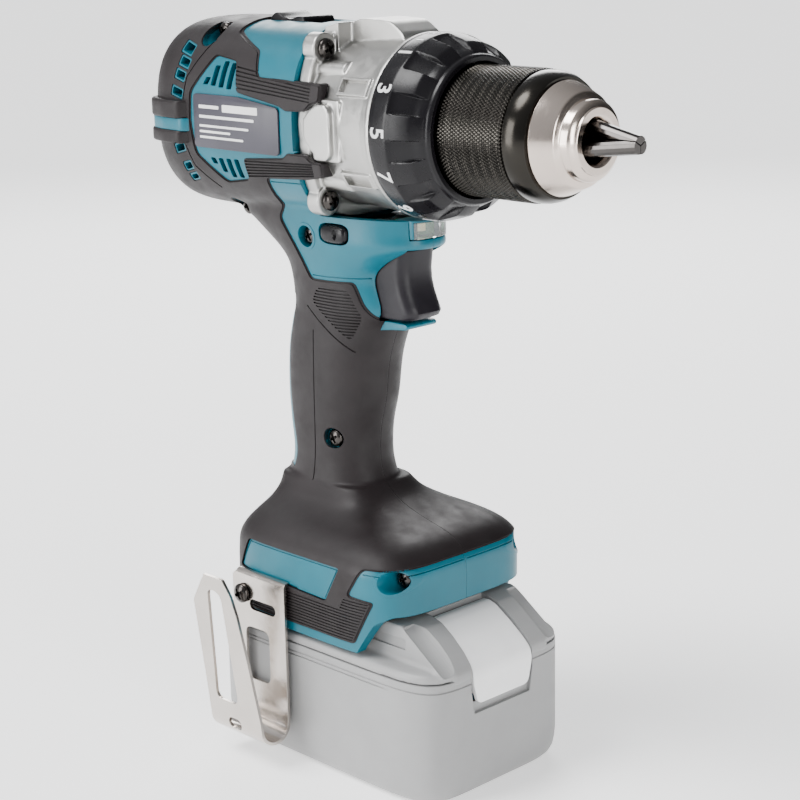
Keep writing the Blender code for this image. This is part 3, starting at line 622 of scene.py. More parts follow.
def make_body():
    """The two teal housings and the rubber moulded over them, cut from one smooth skin."""
    skin = soften(whole_skin("skin", 0.0, 72, 4), 0.8, 7)

    def under(depth):
        """All that lies more than depth below the skin."""
        return grown(skin, -depth, "under")

    def engrave(obj, depth, lines, *areas):
        """Cuts lines into the object down to depth below the skin, inside the areas."""
        cutter = make("engraving", both_sides(joined(*lines)))
        if areas:
            keep(cutter, *areas)
        cut(cutter, under(depth))
        cut(obj, cutter)

    outline = rounded(RUBBER_OUTLINE, 1.6)
    skirt = prism(rounded(SKIRT_OUTLINE, 1.2), "Y", -61, 61)
    below = block((-90, -50, 30), (60, 50, FOOT_BOTTOM))
    trigger_slot = block((-14, -9.1, 163.5), (30, 9.1, 190.3))
    screw_rooms = joined(*[both_sides(rod(4.7 if z > 250 else 3.9, -60, -depth, (x, 0, z), "Y", 40))
                           for _, x, z, depth in SCREW_PLACES])
    rubber = keep(copied(skin, "rubber"), prism(inset(outline, 0.6), "Y", -71, 71))
    join(rubber, keep(under(0.5), prism(outline, "Y", -70, 70)))
    join(rubber, *[make("rib", bumper_rib(RIB_REACH, -73.0, *heights), bevel=1.0)
                   for heights in RIB_HEIGHTS])
    cut(rubber, under(RUBBER_DEPTH))
    cut(rubber, rod(29.9, HOUSING_FRONT + 0.1, 60, steps=96), skirt, below, trigger_slot, screw_rooms,
        side_pair(rounded(FOOT_PANEL, 1.4), -45, -33), rear_vents(0.3, -45, -20),
        block((-70, -14.1, 103), (-39.0, 14.1, 169)))
    engrave(rubber, 0.75, [*ribs((-47.5, 243.6, 252.0), (-8.2, 240.9, 247.4), 6, 0.55, -45, -20),
                           *ribs((-44.0, 212.6, 219.2), (-8.2, 215.8, 220.6), 6, 0.55, -45, -20)])
    engrave(rubber, 0.55, [prism([(-30, z), (6, z + 0.2), (6, z + 0.75), (-30, z + 0.55)], "Y", -30, -8)
                           for z in (155.2 + 1.15 * k for k in range(17))],
            side_pair(rounded(GRIP_PATCH, 2), -31, -7))
    engrave(rubber, 0.5, [block((-47, -45, z), (21.5, -33, z + 0.5))
                          for z in (55.2 + 1.12 * k for k in range(14))],
            side_pair(FOOT_PATCH, -46, -32))
    engrave(rubber, 0.4, [
        *line_band([(-64.5, 259.8), (-74.5, 246.5), (-76.2, 238.6)], 0.5, -45, -18),
        *line_band([(-76.2, 222.2), (-73.0, 214.5), (-63.0, 207.0)], 0.5, -45, -18),
        *line_band([(-29.0, 166.5), (-8.6, 151.4)], 0.6, -30, -8),
        *line_band([(-26.0, 158.0), (-27.6, 130.0), (-29.0, 101.0)], 0.4, -30, -8)])

    teal = under(TEAL_DROP)
    recess = make("recess", prism(inset(outline, 0.15), "Y", -70, 70))
    cut(recess, side_pair(rounded(inset(FOOT_PANEL, 0.25), 1.4), -46, -32),
        block((-71, -13.9, 103.2), (-39.2, 13.9, 168.8)), under(RUBBER_DEPTH + 0.1))
    cut(teal, recess)
    join(teal, keep(make("frames", rear_vents(0.0, -44, -21)), under(0.25)))
    join(teal, make("stripe", bumper_rib(STRIPE_REACH, -72.0, *STRIPE_HEIGHTS), bevel=0.4))
    join(teal, make("lip", prism(rounded(TRIGGER_LIP, 0.9), "Y", -7.4, 7.4), bevel=0.9))
    cut(teal, whole_skin("cavity", -4.6, 40, 1))
    bosses = make("bosses", joined(*[both_sides(rod(6.0 if z > 250 else 4.9, -42, -8, (x, 0, z), "Y", 40))
                                     for _, x, z, _ in SCREW_PLACES]))
    join(teal, keep(bosses, under(0.5)))
    cut(teal, prism(FRONT_OUTLINE, "Y", -60, 60), rod(31.9, HOUSING_FRONT - 0.3, 63, steps=96),
        skirt, below, trigger_slot, screw_rooms)
    slots = []
    for start, step, corners, heights in SIDE_VENTS:
        for k, (low, high) in enumerate(heights):
            slot = [(start + step * k + x, z) for x, z in zip(corners, (low, low, high, high))]
            slots.append(side_pair(rounded(slot, 0.5), -40, -22))
    notch = [(-40, -45), (-40, -29.9), (-35.6, -29.9), (-31.4, -31.2), (-31.4, -45)]
    cut(teal, joined(*slots, side_pair(PLATE_OUTLINE, -40, -30.8), rear_vents(-1.1, -46, -20),
                     both_sides(prism(notch, "Z", 249.2, 260))))
    engrave(teal, TEAL_DROP + 0.35, [
        *line_band([(-47.6, 69.9), (-41.2, 79.8), (6.2, 79.8), (-0.2, 68.2)], 0.3, -45, -33),
        *line_band([(-33.4, 212.0), (-16.0, 212.6)], 0.35, -40, -20),
        *line_band([(-24.5, 178.3), (-2.0, 178.7), (2.5, 170.2)], 0.35, -25, -10),
        *line_band([(18.0, 80.6), (33.0, 80.6)], 0.35, -45, -1)])
    cut(teal, joined(
        block((-6, -8.7, 193.6), (30, 8.7, 199.9)),
        prism(superellipse(7.0, 3.8, 3.2, 40, (-11.5, 194.5)), "Y", -40, 40),
        block((-56.4, -8.3, 258.5), (-26.0, 8.3, 280)),
        block((-48, -41, 56.5), (-15, -37.4, 68.5)), block((-48, 38.2, 56.5), (-15, 41, 68.5)),
        rod(2.2, -45, -30, (CLIP_SCREW_X, 0, CLIP_SCREW_Z), "Y", 24)))
    for word, near, far in (("right", -60, -0.06), ("left", 0.06, 60)):
        half = block((-130, near, -5), (130, far, 300))
        shell = keep(copied(teal, "housing_shell_" + word), half)
        fit(dress(shell, TEAL), "tool", "teal_plastic", "housing_" + word)
        grip = keep(copied(rubber, "grip_rubber_" + word), half)
        fit(dress(grip, RUBBER), "tool", "rubber", "grip_" + word)
    drop(*[obj for obj in bpy.context.scene.objects if obj.parent is None and obj.type == "MESH"])


# Blank printed bars on the plates: x, z, length and height
PLATE_BARS = ((-67, 236.0, 11, 1.2), (-54, 235.2, 19, 2.6), (-67, 232.6, 30, 1.0),
              (-67, 229.4, 27, 0.8), (-67, 227.4, 17, 0.8), (-67, 225.4, 24, 0.8))


def make_plates():
    """The grey rating plates, with blank printed bars."""
    plate = prism(rounded(inset(PLATE_OUTLINE, 0.35), 1.8), "Y", 31.0, 31.75)
    bars = joined(*[prism(rounded(oblong(x, z, x + length, z + height), 0.3, 2), "Y", 31.7, 31.82)
                    for x, z, length, height in PLATE_BARS])
    for word, turn in (("right", Matrix.Scale(-1, 4, (0, 1, 0))), ("left", Matrix())):
        made = make("rating_plate_" + word, moved(plate, turn), LABEL, bevel=0.12, segments=2)
        fit(made, "tool", "label_grey", "name_plate_" + word)
        fit(make("plate_print_" + word, moved(bars, turn), PRINT), "tool", "label_grey")


# Fasteners and controls

def make_screw(name, place, aim, head_r, head_h, shank_r, length):
    """A pan-head screw with a cross recess; aim turns its +X axis to where the head faces."""
    dome = [(head_r * cos(a), head_h * (0.35 + 0.65 * sin(a))) for a in (pi / 2 * k / 6 for k in range(6))]
    rows = [(0.02, -length - shank_r * 0.6), (shank_r, -length), (shank_r, 0.0), (head_r, 0.0), *dome]
    screw = make(name, lathe([*rows, (0.02, head_h)], 40, (0, 0, 0)))
    arm, wing = head_r * 0.60, head_r * 0.15
    for turn in (0, pi / 2):
        slot = block((head_h * 0.35, -arm, -wing), (head_h * 2, arm, wing))
        cut(screw, moved(slot, Matrix.Rotation(turn + 0.5, 4, "X")))
    cut(screw, lathe([(head_r * 0.1, head_h * 0.1), (head_r * 0.34, head_h * 1.1)], 12, (0, 0, 0)))
    screw.data.transform(Matrix.Translation(Vector(place) * MM) @ Matrix.Rotation(aim, 4, "Z"))
    return dress(screw, OXIDE, 30)


def make_fasteners():
    for name, x, z, depth in SCREW_PLACES:
        screw = make_screw(name + "_detail", (x, -depth - 0.35, z), -pi / 2, 3.3, 2.3, 1.7,
                           span(name)[1].y + depth)
        fit(screw, "tool", "black_steel", name)
    for a, across in ((-1, "right"), (1, "left")):
        for b, level in ((1, "upper"), (-1, "lower")):
            node = f"case_screw_{level}_{across}"
            place = (span(node)[1].x - 2.4, a * CASE_SCREW_Y, AXIS_Z + b * CASE_SCREW_Z)
            fit(make_screw(node + "_detail", place, 0, 3.5, 2.4, 1.8, 12.0), "tool", "black_steel", node)
    clip_screw = make_screw("clip_screw_detail", (CLIP_SCREW_X, -41.2, CLIP_SCREW_Z), -pi / 2,
                            3.6, 2.4, 1.8, 5.0)
    fit(clip_screw, "tool", "black_steel", "clip_screw")


def make_trigger():
    """A finger scoop that is narrower at its front, with a hollow face and rounded edges."""
    sides = [(190.0, 11.4), (189.2, 12.9), (186, 12.5), (182, 12.0), (178, 12.3), (174, 13.4),
             (170, 15.2), (167.4, 16.4), (165.6, 15.4), (164.6, 13.0)]
    loops = []
    for z, front in sides:
        pull = 0.8 if z > 189.5 or z < 165 else 0.0
        rear = -13.0 if z > 172 else -3.0
        outline = [(rear, -8.6 + pull), (rear, 8.6 - pull), (front - 2.6, 8.6 - pull), (front, 5.6 - pull),
                   (front + 0.25, 0), (front, -5.6 + pull), (front - 2.6, -8.6 + pull)]
        loops.append([(x, y, z) for x, y in rounded(outline, 2.2, 5)])
    trigger = make("trigger_scoop", rings(loops), TRIGGER_GREY, 50)
    fit(trigger, "trigger", "trigger_grey", "trigger")


def make_levers():
    """The speed selector on top and the direction selector through the head's throat."""
    profile = between([(-55.0, 263.0), (-54.6, 266.4), (-51.5, 268.8), (-47.5, 267.4), (-44, 266.7),
                       (-40.0, 267.6), (-36.6, 267.2), (-36.0, 263.0)], 4)
    lever = make("speed_selector", prism(profile, "Y", -7.3, 7.3), bevel=0.5)
    join(lever, block((-49, -3, 260.4), (-44, 3, 264)))
    cut(lever, joined(*[block((-46.0 + 1.5 * k, -6.2, 266.0), (-45.4 + 1.5 * k, 6.2, 270))
                        for k in range(5)]))
    fit(dress(lever, BLACK), "speed_lever", "black_plastic", "speed_lever")
    middle = ((SWITCH_LOW.x + SWITCH_HIGH.x) / 2, (SWITCH_LOW.z + SWITCH_HIGH.z) / 2)
    loops = []
    for y, grow in ((-20.0, -1.1), (-19.6, -0.4), (-18.9, 0), (18.9, 0), (19.6, -0.4), (20.0, -1.1)):
        loops.append([(x, y, z) for x, z in superellipse(6.3 + grow, 3.3 + grow, 3, 48, middle)])
    switch = make("direction_selector", rings(loops))
    cut(switch, both_sides(turned([(0.01, -1.6), (1.6, -1.0), (2.3, 0), (1.6, 1.0), (0.01, 1.6)], 32,
                                  (middle[0] + 1.5, -21.0, middle[1]))))
    fit(dress(switch, BLACK), "direction_lever", "black_plastic", "direction_lever")


def make_lamp():
    """A clear lens in a teal bezel, with the lamp chip behind it."""
    bottom, top = LENS_LOW.z, LENS_HIGH.z

    def plan(middle, half_width, half_length):
        return [(middle + b, a) for a, b in superellipse(half_width, half_length, 4, 64)]

    rim = plan(13.0, 8.2, 6.0)
    lens = make("lamp_lens", rings([[(x, y, z) for x, y in loop] for z, loop in (
        (bottom, inset(rim, 0.5)), (bottom + 0.4, rim), (top - 0.5, rim))]))
    cut(lens, block((-2, -12, 190), (9.2, 12, 204)))
    fit(dress(lens, CLEAR), "tool", "clear_plastic", "led_lens")
    bezel = make("lamp_bezel", prism(plan(12.4, 8.5, 6.9), "Z", bottom + 0.1, top + 0.3))
    cut(bezel, prism(plan(12.9, 8.3, 6.2), "Z", bottom - 1, top + 0.05),
        block((-2, -12, 190), (9.3, 12, 204)), block((8.9, -7.9, bottom - 1), (30, 7.9, top - 0.2)))
    fit(dress(bezel, TEAL), "tool", "teal_plastic")
    chip = make("lamp_chip", block((8.4, -2.2, bottom + 1.6), (9.1, 2.2, top - 1.6)), CHIP, bevel=0.15)
    fit(chip, "tool", "clear_plastic")


# Gear case, ring and chuck

def pad_on_barrel(x0, x1, angle0, angle1, inner, outer):
    """A raised patch on the round case between two angles, which count up from the tool's right."""
    steps = 6
    outline = []
    for radius, order in ((outer, range(steps + 1)), (inner, range(steps, -1, -1))):
        for k in order:
            angle = radians(angle0 + (angle1 - angle0) * k / steps)
            outline.append((-radius * cos(angle), AXIS_Z + radius * sin(angle)))
    return prism(outline, "X", x0, x1)


GEAR_CASE_PROFILE = [
    (31.5, 20.3), (31.5, 18.7), (30.7, 18.3), (30.3, 15.2), (29.0, -11.5), (29.0, -17.2), (26.9, -17.2),
    (26.9, 13.0), (9.0, 15.0), (9.0, 23.0), (13.6, 23.0), (13.6, 35.0), (16.5, 35.0), (16.5, 20.3),
]
CASE_LUG = [(-10.8, 229.5), (-10.8, 235.8), (-7.6, 239.0), (-3.8, 241.0), (0.2, 241.0), (2.0, 238.8),
            (2.4, 224.6), (0.2, 222.2), (-3.2, 222.2), (-8.4, 226.2)]
LUG_PAD = oblong(-9, 221.6, 4.6, 242.4)
CASE_TOP = [(-14.5, 257), (-14.5, 265.4), (-5.5, 268.2), (8.5, 267.6), (15.2, 263.2), (15.2, 257)]
CASE_TOP_REAR = [(-10, 257), (-16.8, 259), (-16.8, 265.2), (-10, 267)]
# Raised pads on the barrel's right side: their two angles and front end, and the pockets in them
BARREL_PADS = ((22.5, 34.5, 16.6), (-39.0, -27.5, 16.4))
BARREL_POCKETS = ((24.2, 32.8), (-37.3, -29.2))


def make_gear_case():
    """Die casting: barrel, square flange with four ears, bosses, pads and the side lugs."""
    case = make("gear_case_casting", turned(GEAR_CASE_PROFILE, 128))
    join(case, prism(superellipse(28.6, 33.0, 3.0, 96, (0, AXIS_Z)), "X", -17.2, -12.0))
    for b in (-1, 1):
        low, high = sorted((b * 14, b * 27))
        for shape in (rod(5.4, -17.1, -11.3, (0, CASE_SCREW_Y, AXIS_Z + b * CASE_SCREW_Z)),
                      rod(3.4, -16.9, 1.0, (0, 20.2, AXIS_Z + b * 18.6)),
                      block((-16.95, 12, AXIS_Z + low), (-12.1, 25, AXIS_Z + high))):
            join(case, both_sides(shape))
    join(case, prism(rounded(CASE_TOP, 2), "Y", -8.8, 8.8), prism(CASE_TOP_REAR, "Y", -15.5, 15.5))
    join(case, side_pair(rounded(CASE_LUG, 1.2), -32.3, -26.9))
    join(case, side_pair(rounded(LUG_PAD, 1.2), -29.7, -26.8))
    for angle0, angle1, front in BARREL_PADS:
        join(case, both_sides(pad_on_barrel(2.0, front, angle0, angle1, 27.5, 31.2)))
    cut(case, rod(26.9, -20, 12.9, steps=96))
    soften(case, 0.36, 2)
    for angles in BARREL_POCKETS:
        cut(case, both_sides(pad_on_barrel(3.4, 15.2, *angles, 29.5, 33)))
    cut(case, *[both_sides(rod(2.3, -22, -6, (0, CASE_SCREW_Y, AXIS_Z + b * CASE_SCREW_Z), steps=32))
                for b in (-1, 1)])
    fit(dress(case, CAST, 40), "tool", "cast_aluminium", "gear_case")


# Finger pockets: how many, where the first is and half their width, in degrees
POCKETS, POCKET_START, POCKET_HALF = 12, 20.5, 6.8
# The numbers: place along the axis, radius, first angle and step
NUMBER_X, NUMBER_R, FIRST_NUMBER, NUMBER_STEP = 24.4, 31.6, 55.6, 27.1
# The ring's outside as (x, radius), between the pockets and in the middle of one
RING_REAR = [(20.7, 31.0), (21.0, 31.5), (27.0, 31.6), (28.4, 31.4)]
RING_FRONT = [(40.2, 25.2), (41.3, 24.9), (42.0, 24.3)]
RING_LUG = [*RING_REAR, (29.6, 31.1), (33.0, 30.2), (36.0, 29.2), (37.0, 28.6), (38.4, 27.2), (39.6, 25.9),
            *RING_FRONT]
RING_POCKET = [*RING_REAR, (29.6, 30.4), (31.4, 28.6), (36.0, 27.1), (37.0, 26.7), (38.4, 26.2),
               (39.6, 25.6), *RING_FRONT]


def make_torque_ring():
    """The ring: a numbered rear band, twelve finger pockets and a thin front lip."""
    lug, pocket = between(RING_LUG, 3), between(RING_POCKET, 3)
    inner = [(22.8, 42.0), (22.8, 38.0), (25.0, 34.5), (29.0, 27.0), (29.0, 20.7)]
    profile = [(r, x) for x, r in lug] + inner

    def ripple(i, angle):
        if i >= len(lug):
            return 0.0
        turn = np.degrees(np.arctan2(sin(angle), -cos(angle)))
        off = abs((turn - POCKET_START + 180 / POCKETS) % (360 / POCKETS) - 180 / POCKETS)
        share = min(max((POCKET_HALF + 0.5 - off) / 1.0, 0.0), 1.0)
        share = share * share * (3 - 2 * share)
        return (pocket[i][1] - lug[i][1]) * share

    ring = make("clutch_ring", turned(profile, 720, ripple=ripple), BLACK, 28)
    fit(ring, "torque_ring", "black_plastic", "torque_ring")
    for k in range(11):
        number = number_on_ring(str(2 * k + 1), FIRST_NUMBER - NUMBER_STEP * k)
        fit(number, "torque_ring", "black_plastic")
    marks = [pad_on_barrel(23.2, 26.6, 69.0, 70.2, 31.0, 31.72)]
    for k in range(4):
        x, angle = 22.9 + 1.1 * k, 80.0 + 1.4 * (k % 2)
        marks.append(pad_on_barrel(x, x + 0.6, angle, angle + 3.4, 31.0, 31.72))
    fit(make("ring_marks", joined(*marks), PRINT), "torque_ring", "black_plastic")


def number_on_ring(text, angle):
    """A raised number wrapped on the ring's rear band, its top towards the chuck."""
    curve = bpy.data.curves.new("number", "FONT")
    curve.body, curve.size, curve.extrude = text, 8.4, 0.25
    curve.align_x, curve.align_y = "CENTER", "CENTER"
    curve.offset = 0.12
    flat = placed("number", curve)
    bpy.context.view_layer.update()
    mesh = bpy.data.meshes.new_from_object(flat.evaluated_get(bpy.context.evaluated_depsgraph_get()))
    drop(flat)
    for vertex in mesh.vertices:
        across, up, out = vertex.co
        turn = radians(angle) - across / NUMBER_R
        radius = NUMBER_R + 0.02 + out * 0.5
        vertex.co = Vector((NUMBER_X + up, -radius * cos(turn), AXIS_Z + radius * sin(turn))) * MM
    bm = bmesh.new()
    bm.from_mesh(mesh)
    bmesh.ops.remove_doubles(bm, verts=bm.verts, dist=1e-6)
    bmesh.ops.recalc_face_normals(bm, faces=bm.faces)
    bm.to_mesh(mesh)
    bm.free()
    return dress(placed("ring_number_" + text, mesh), PRINT, 30)


KNURL_COUNT, KNURL_DEPTH, KNURL_ROWS = 112, 0.5, 132
CHUCK_NOSE = [
    (0.0, CHUCK_LOW.x), (18.3, CHUCK_LOW.x), (18.3, 60.0), (12.9, 60.0), (12.9, 68.2), (17.9, 68.2),
    (17.9, 78.3), (18.4, 78.5), (18.6, 79.1), (15.6, 86.0), (15.3, 86.35), (14.9, 86.55), (13.5, 87.0),
    (13.2, 87.2), (13.1, 87.5), (13.1, 90.0), (12.95, 90.4), (12.6, 90.8), (11.2, 91.6), (10.9, 91.7),
    (10.75, CHUCK_HIGH.x - 0.1), (10.6, CHUCK_HIGH.x), (8.4, CHUCK_HIGH.x), (8.2, CHUCK_HIGH.x - 0.1),
    (7.1, 91.0), (6.9, 90.4), (6.9, 64.5), (0.0, 64.5),
]


def make_chuck():
    """Knurled sleeve with a plain collar, which runs in under the ring, and the stepped nose."""
    rear, collar = RING_HIGH.x - 4.5, 70.3
    radius, rows = SLEEVE_HIGH.y, KNURL_ROWS
    start, end = rear + 1.2, collar - 0.9
    knurled = [(radius - 0.1, start + (end - start) * k / rows) for k in range(rows + 1)]
    front = [(radius - 0.9, end + 0.3), (radius - 0.9, collar + 0.1), (radius - 0.45, collar + 0.3),
             (radius - 0.35, 72.0), (radius - 0.5, 74.0), (radius - 1.0, 76.0), (radius - 1.9, 77.8),
             (radius - 2.3, SLEEVE_HIGH.x), (18.4, SLEEVE_HIGH.x), (18.4, 68.4), (18.75, 68.4),
             (18.75, rear)]
    profile = [(radius - 1.6, rear), (radius - 0.7, rear + 0.2), (radius - 0.3, start - 0.2),
               *knurled, *front]

    def ripple(i, angle):
        k = i - 3
        if not 0 <= k <= rows:
            return 0.0
        along = (end - start) * k / rows / (tau * radius / KNURL_COUNT)
        turn = angle / tau * KNURL_COUNT
        waves = [abs((turn + sign * along * 0.62) % 1.0 - 0.5) * 2 for sign in (-1, 1)]
        return KNURL_DEPTH * (min(waves) - 0.6)

    sleeve = make("knurled_sleeve", turned(profile, KNURL_COUNT * 6, ripple=ripple), KNURL, 30)
    fit(sleeve, "sleeve", "black_metal", "chuck_sleeve")
    marks = []
    for turn in range(0, 360, 45):
        for x0, x1, a0, a1 in ((73.0, 75.4, 0, 2.0), (73.0, 73.6, 2, 9), (74.8, 75.4, -7, 0)):
            marks.append(pad_on_barrel(x0, x1, turn + 12 + a0, turn + 12 + a1, 19.6,
                                       radius - 0.45 - 0.12 * (x1 - 72)))
    fit(make("collar_marks", joined(*marks), SPRING), "sleeve", "black_metal")
    body = make("chuck_nose", turned([(max(r, 0.02), x) for r, x in CHUCK_NOSE], 160), NICKEL, 25)
    fit(body, "spindle", "nickel", "chuck_body")


# Belt clip

CLIP_WIDTH = (-48.0, -19.5)
CLIP_BEND_R = 6.4


def make_clip():
    """Bent spring steel: a plate, a round bend and a leaf, with slots in both."""
    half_thickness = 0.6
    middle = [(-38.2, 68.6), (-39.0, 68.5), (-39.7, 68.1), (-40.1, 67.4), (-40.1, 45), (-40.1, 30),
              (-40.1, 16.5)]
    middle += [(-46.5 + CLIP_BEND_R * cos(a), 15.5 + CLIP_BEND_R * sin(a))
               for a in (-pi * k / 14 for k in range(1, 14))]
    middle += [(-52.9, 16.0), (-54.6, 30), (-56.6, 45), (-58.6, 60), (-60.4, 73.6)]
    normals = []
    for i in range(len(middle)):
        before, after = middle[max(i - 1, 0)], middle[min(i + 1, len(middle) - 1)]
        dy, dz = after[0] - before[0], after[1] - before[1]
        length = hypot(dy, dz)
        normals.append((-dz / length * half_thickness, dy / length * half_thickness))
    outline = [(y + a, z + b) for (y, z), (a, b) in zip(middle, normals)]
    outline += [(y - a, z - b) for (y, z), (a, b) in list(zip(middle, normals))[::-1]]
    clip = make("belt_hook", prism(outline, "X", *CLIP_WIDTH))
    plate = (-42.5, -38.0)
    leaf = (-70, -46)
    cut(clip,
        prism(rounded(oblong(-41.5, 27.5, -28.4, 48.0), 3.4, 6), "Y", *plate),
        prism(obround((-31.6, 57.0), 7.2, 2.1), "Y", *plate),
        prism(rounded([(-43.4, 23.0), (-31.0, 23.0), (-31.6, 67.5), (-38.8, 68.5)], 3.4, 6), "Y", *leaf),
        prism(obround((-34.5, 14.5), 3.6, 2.2), "Y", *leaf),
        prism([(-60, 60), (-48.6, 60), (-47.4, 62.5), (-41.4, 71.2), (-40.0, 72.8), (-39, 90), (-60, 90)],
              "Y", *leaf),
        prism([(-32.0, 90), (-31.0, 74.2), (-29.4, 73.4), (-26.2, 68.0), (-24.2, 60), (-22.0, 42),
               (-20.6, 28), (-19.4, 18), (-10, 15), (-10, 90)], "Y", *leaf),
        rod(2.4, -42.5, -38, (CLIP_SCREW_X, 0, CLIP_SCREW_Z), "Y", 32),
        prism([(-52, 66.4), (-48.2, 66.4), (-46.2, 68.3), (-46, 72), (-52, 72)], "Y", -42.5, -37))
    fit(dress(clip, SPRING, 30), "tool", "nickel", "belt_clip")


# Battery pack

# The button seen from the front: it widens upwards and narrows again on the slope.
BUTTON_FRONT = rounded([(-13.0, 34.6), (13.0, 34.6), (15.2, 43.5), (13.6, 62.5), (-13.6, 62.5),
                        (-15.2, 43.5)], 2.4)
# The button from the side
BUTTON_SIDE = [(44.2, 38.6), (48.9, 38.6), (48.9, 33.0), (50.3, 33.0), (50.3, 44.6), (49.6, 47.6),
               (46.4, 51.0), (40.5, 55.8), (34.2, 60.2), (31.0, 61.4), (27.6, 61.0), (27.6, 58.6),
               (34.4, 57.6), (44.2, 49.4)]
# What the pack leaves free for it, down to where it is fully pressed
BUTTON_ROOM = [(-14.3, 31.1), (14.3, 31.1), (15.9, 40.2), (15.7, 44.2), (14.1, 64.5), (-14.1, 64.5),
               (-15.7, 44.2), (-15.9, 40.2)]


def pack_loft(*levels):
    """The pack's plan through (z, grow) levels."""
    low, high = CASE_LOW, CASE_HIGH
    half, middle = (high.x - low.x) / 2, ((low.x + high.x) / 2, 0)
    return rings([[(x, y, z) for x, y in superellipse(half + grow, high.y + grow, 7, 128, middle)]
                  for z, grow in levels])


def make_pack():
    """Pack case with soft edges, the scooped front cover and the release button."""
    top = CASE_HIGH.z
    case = make("pack_case", pack_loft(
        (0.0, -5.2), (0.25, -4.0), (0.9, -2.9), (2.2, -1.7), (4.2, -0.8), (7.0, -0.3), (11.0, 0), (28, 0),
        (top - 3.2, 0), (top - 3.0, -0.35), (top - 2.7, -0.35), (top - 2.5, 0), (top, 0)))
    notch = keep(make("notch", prism(BUTTON_ROOM, "X", 44, 60)), block((40, -30, 35.0), (60, 30, 70)))
    join(notch, prism(BUTTON_ROOM, "X", 48.5, 60))
    cut(case, pack_loft((2.4, -2.4), (60, -2.4)), notch)
    drop(notch)
    cut(case, both_sides(joined(*line_band([(-56, 41.5), (40, 41.5)], 0.5, -40, -37.1))))
    fit(dress(case, PACK, 30), "battery", "pack_plastic", "battery_case")

    side = rounded([(-44, 48), (49.9, 48.0), (49.0, 49.6), (45.6, 53.2), (40.0, 57.6), (34.5, 61.0),
                    (28.5, PACK_TOP), (-44, PACK_TOP)], 0.8)
    nose = [(40, 44.0), (50.0, 44.0), (50.0, 47.5), (49.0, 49.6), (40, 57)]
    cover = make("pack_cover", pack_loft((span("battery_cover")[0].z, -0.2), (47.6, -0.2), (48.6, -0.6),
                                         (49.3, -1.5), (49.6, -2.8)))
    hump = make("hump", prism(side, "Y", -29.2, 29.2), bevel=1.6)
    front = make("front", prism(nose, "Y", -24, 24), bevel=0.8)
    join(cover, hump, front)
    drop(hump, front)
    soften(cover, 0.7, 5)
    cut(cover, both_sides(rings([
        [(x, -27.0 + 5.4 * cos(a), z + 5.4 * sin(a)) for a in (tau * k / 32 for k in range(32))]
        for x, z in ((30.0, 66.5), (54.0, 50.0), (62.0, 46.0))])))
    cut(cover, block((-41.5, -26, 40), (24, 26, 58.5)), block((20, -24, 40), (38, 24, 50)),
        prism(BUTTON_ROOM, "X", 26.5, 62), both_sides(block((-70, -40, 54), (31, -28.4, 58))),
        block((-42, -13, 58), (-26, 13, 64)))
    fit(dress(cover, PACK, 30), "battery", "pack_plastic", "battery_cover")

    button = make("release_latch", prism(BUTTON_FRONT, "X", 26, 60))
    keep(button, prism(rounded(BUTTON_SIDE, 1.2), "Y", -16.6, 16.6))
    fit(dress(button, WHITE, 35), "release_button", "button_white", "release_button")


# Carried-over pieces, light and camera

CARRIED = (
    (JAW_STEEL, ("jaw_1", "jaw_2", "jaw_3")),
    (STEEL, ("chuck_nut", "chuck_screw", "clutch_spring", "front_bearing", "rear_bearing",
             "spindle_bearing", "gearbox_plate", "motor_shaft", "planet_carrier", "planet_gear_1",
             "planet_gear_2", "planet_gear_3", "ring_gear", "rotor_core", "spindle")),
    (COPPER, ("motor_stator", "pack_contacts")),
)


def dress_carried_nodes():
    """Boards, cells, the fan and the black blocks inside keep the model's own materials."""
    for look, nodes in CARRIED:
        for slot in (slot for name in nodes for slot in frame["nodes"][name].material_slots):
            slot.material = look


def light(name, place, target, size, watts):
    lamp = bpy.data.lights.new(name, "AREA")
    lamp.shape, lamp.size, lamp.size_y, lamp.energy = "RECTANGLE", size[0], size[1], watts
    obj = placed(name, lamp)
    obj.location = place
    obj.rotation_euler = (Vector(target) - Vector(place)).to_track_quat("-Z", "Y").to_euler()


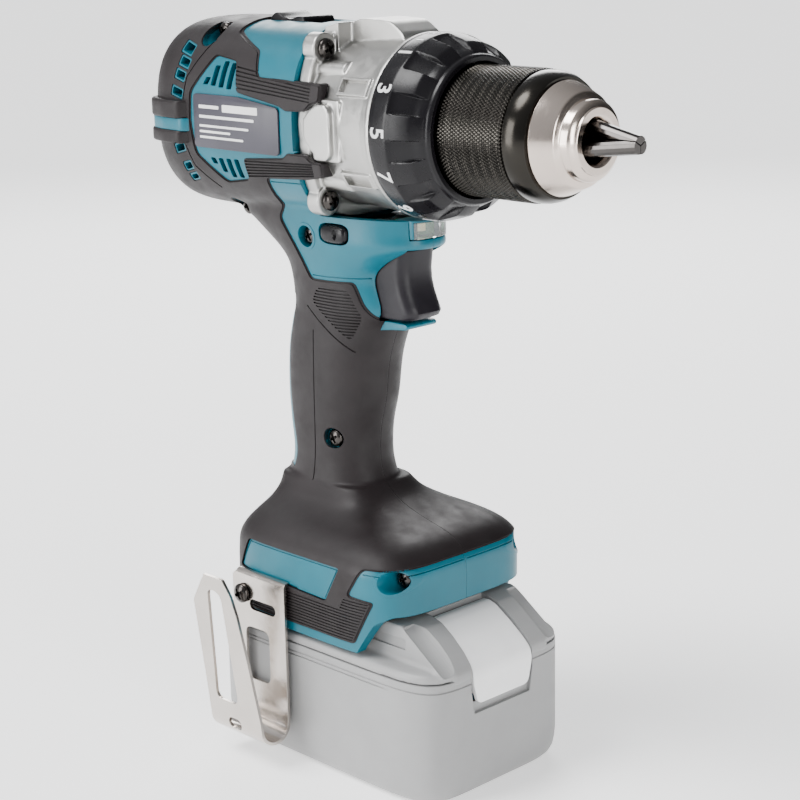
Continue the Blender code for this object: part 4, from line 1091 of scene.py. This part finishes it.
def make_studio():
    floor = make("studio_floor", block((-9000, -9000, -12), (9000, 9000, -0.05)), floor_material())
    world = bpy.data.worlds.new("studio")
    world.use_nodes = True
    tree = world.node_tree
    put(tree.nodes["Background"], Color=(0.95, 0.97, 1.0, 1))
    facing = add(tree, "VectorMath")
    facing.operation = "DOT_PRODUCT"
    facing.inputs[1].default_value = (-0.45, -0.65, 0.61)
    tree.links.new(add(tree, "TexCoord").outputs["Generated"], facing.inputs[0])
    strength = add(tree, "MapRange", From_Min=-0.5, To_Min=0.06, To_Max=0.75)
    tree.links.new(facing.outputs["Value"], strength.inputs["Value"])
    tree.links.new(strength.outputs["Result"], tree.nodes["Background"].inputs["Strength"])
    bpy.context.scene.world = world
    sun = bpy.data.lights.new("sun", "SUN")
    sun.energy, sun.angle = 3.4, radians(28)
    placed("sun", sun).rotation_euler = Vector((0.45, 0.62, -1.25)).to_track_quat("-Z", "Y").to_euler()
    aim = (0.0, 0.0, 0.17)
    light("left_softbox", (-0.55, -1.15, 0.42), aim, (0.55, 0.8), 15)
    light("front_softbox", (1.15, -0.25, 0.42), aim, (0.35, 0.6), 8)
    light("rear_softbox", (-0.9, 0.9, 0.8), aim, (0.8, 0.6), 12)


def make_camera():
    """A long lens in front of the tool's right side, a little above the axis."""
    azimuth, elevation, roll = radians(45.7), radians(14.5), radians(-1.1)
    target, distance = Vector((0.0008, 0.0, 0.1332)), 0.6987
    back = Vector((sin(azimuth) * cos(elevation), -cos(azimuth) * cos(elevation), sin(elevation)))
    level = (-back).cross(Vector((0, 0, 1))).normalized()
    upright = level.cross(-back)
    right = level * cos(roll) + upright * sin(roll)
    up = upright * cos(roll) - level * sin(roll)
    data = bpy.data.cameras.new("camera")
    data.lens, data.sensor_width = 87.68, 36.0
    camera = placed("camera", data)
    axes = Matrix((right, up, back)).transposed().to_4x4()
    camera.matrix_world = Matrix.Translation(target + back * distance) @ axes
    bpy.context.scene.camera = camera


make_body()
make_plates()
make_fasteners()
make_trigger()
make_levers()
make_lamp()
make_gear_case()
make_torque_ring()
make_chuck()
make_clip()
make_pack()
dress_carried_nodes()
make_studio()
make_camera()
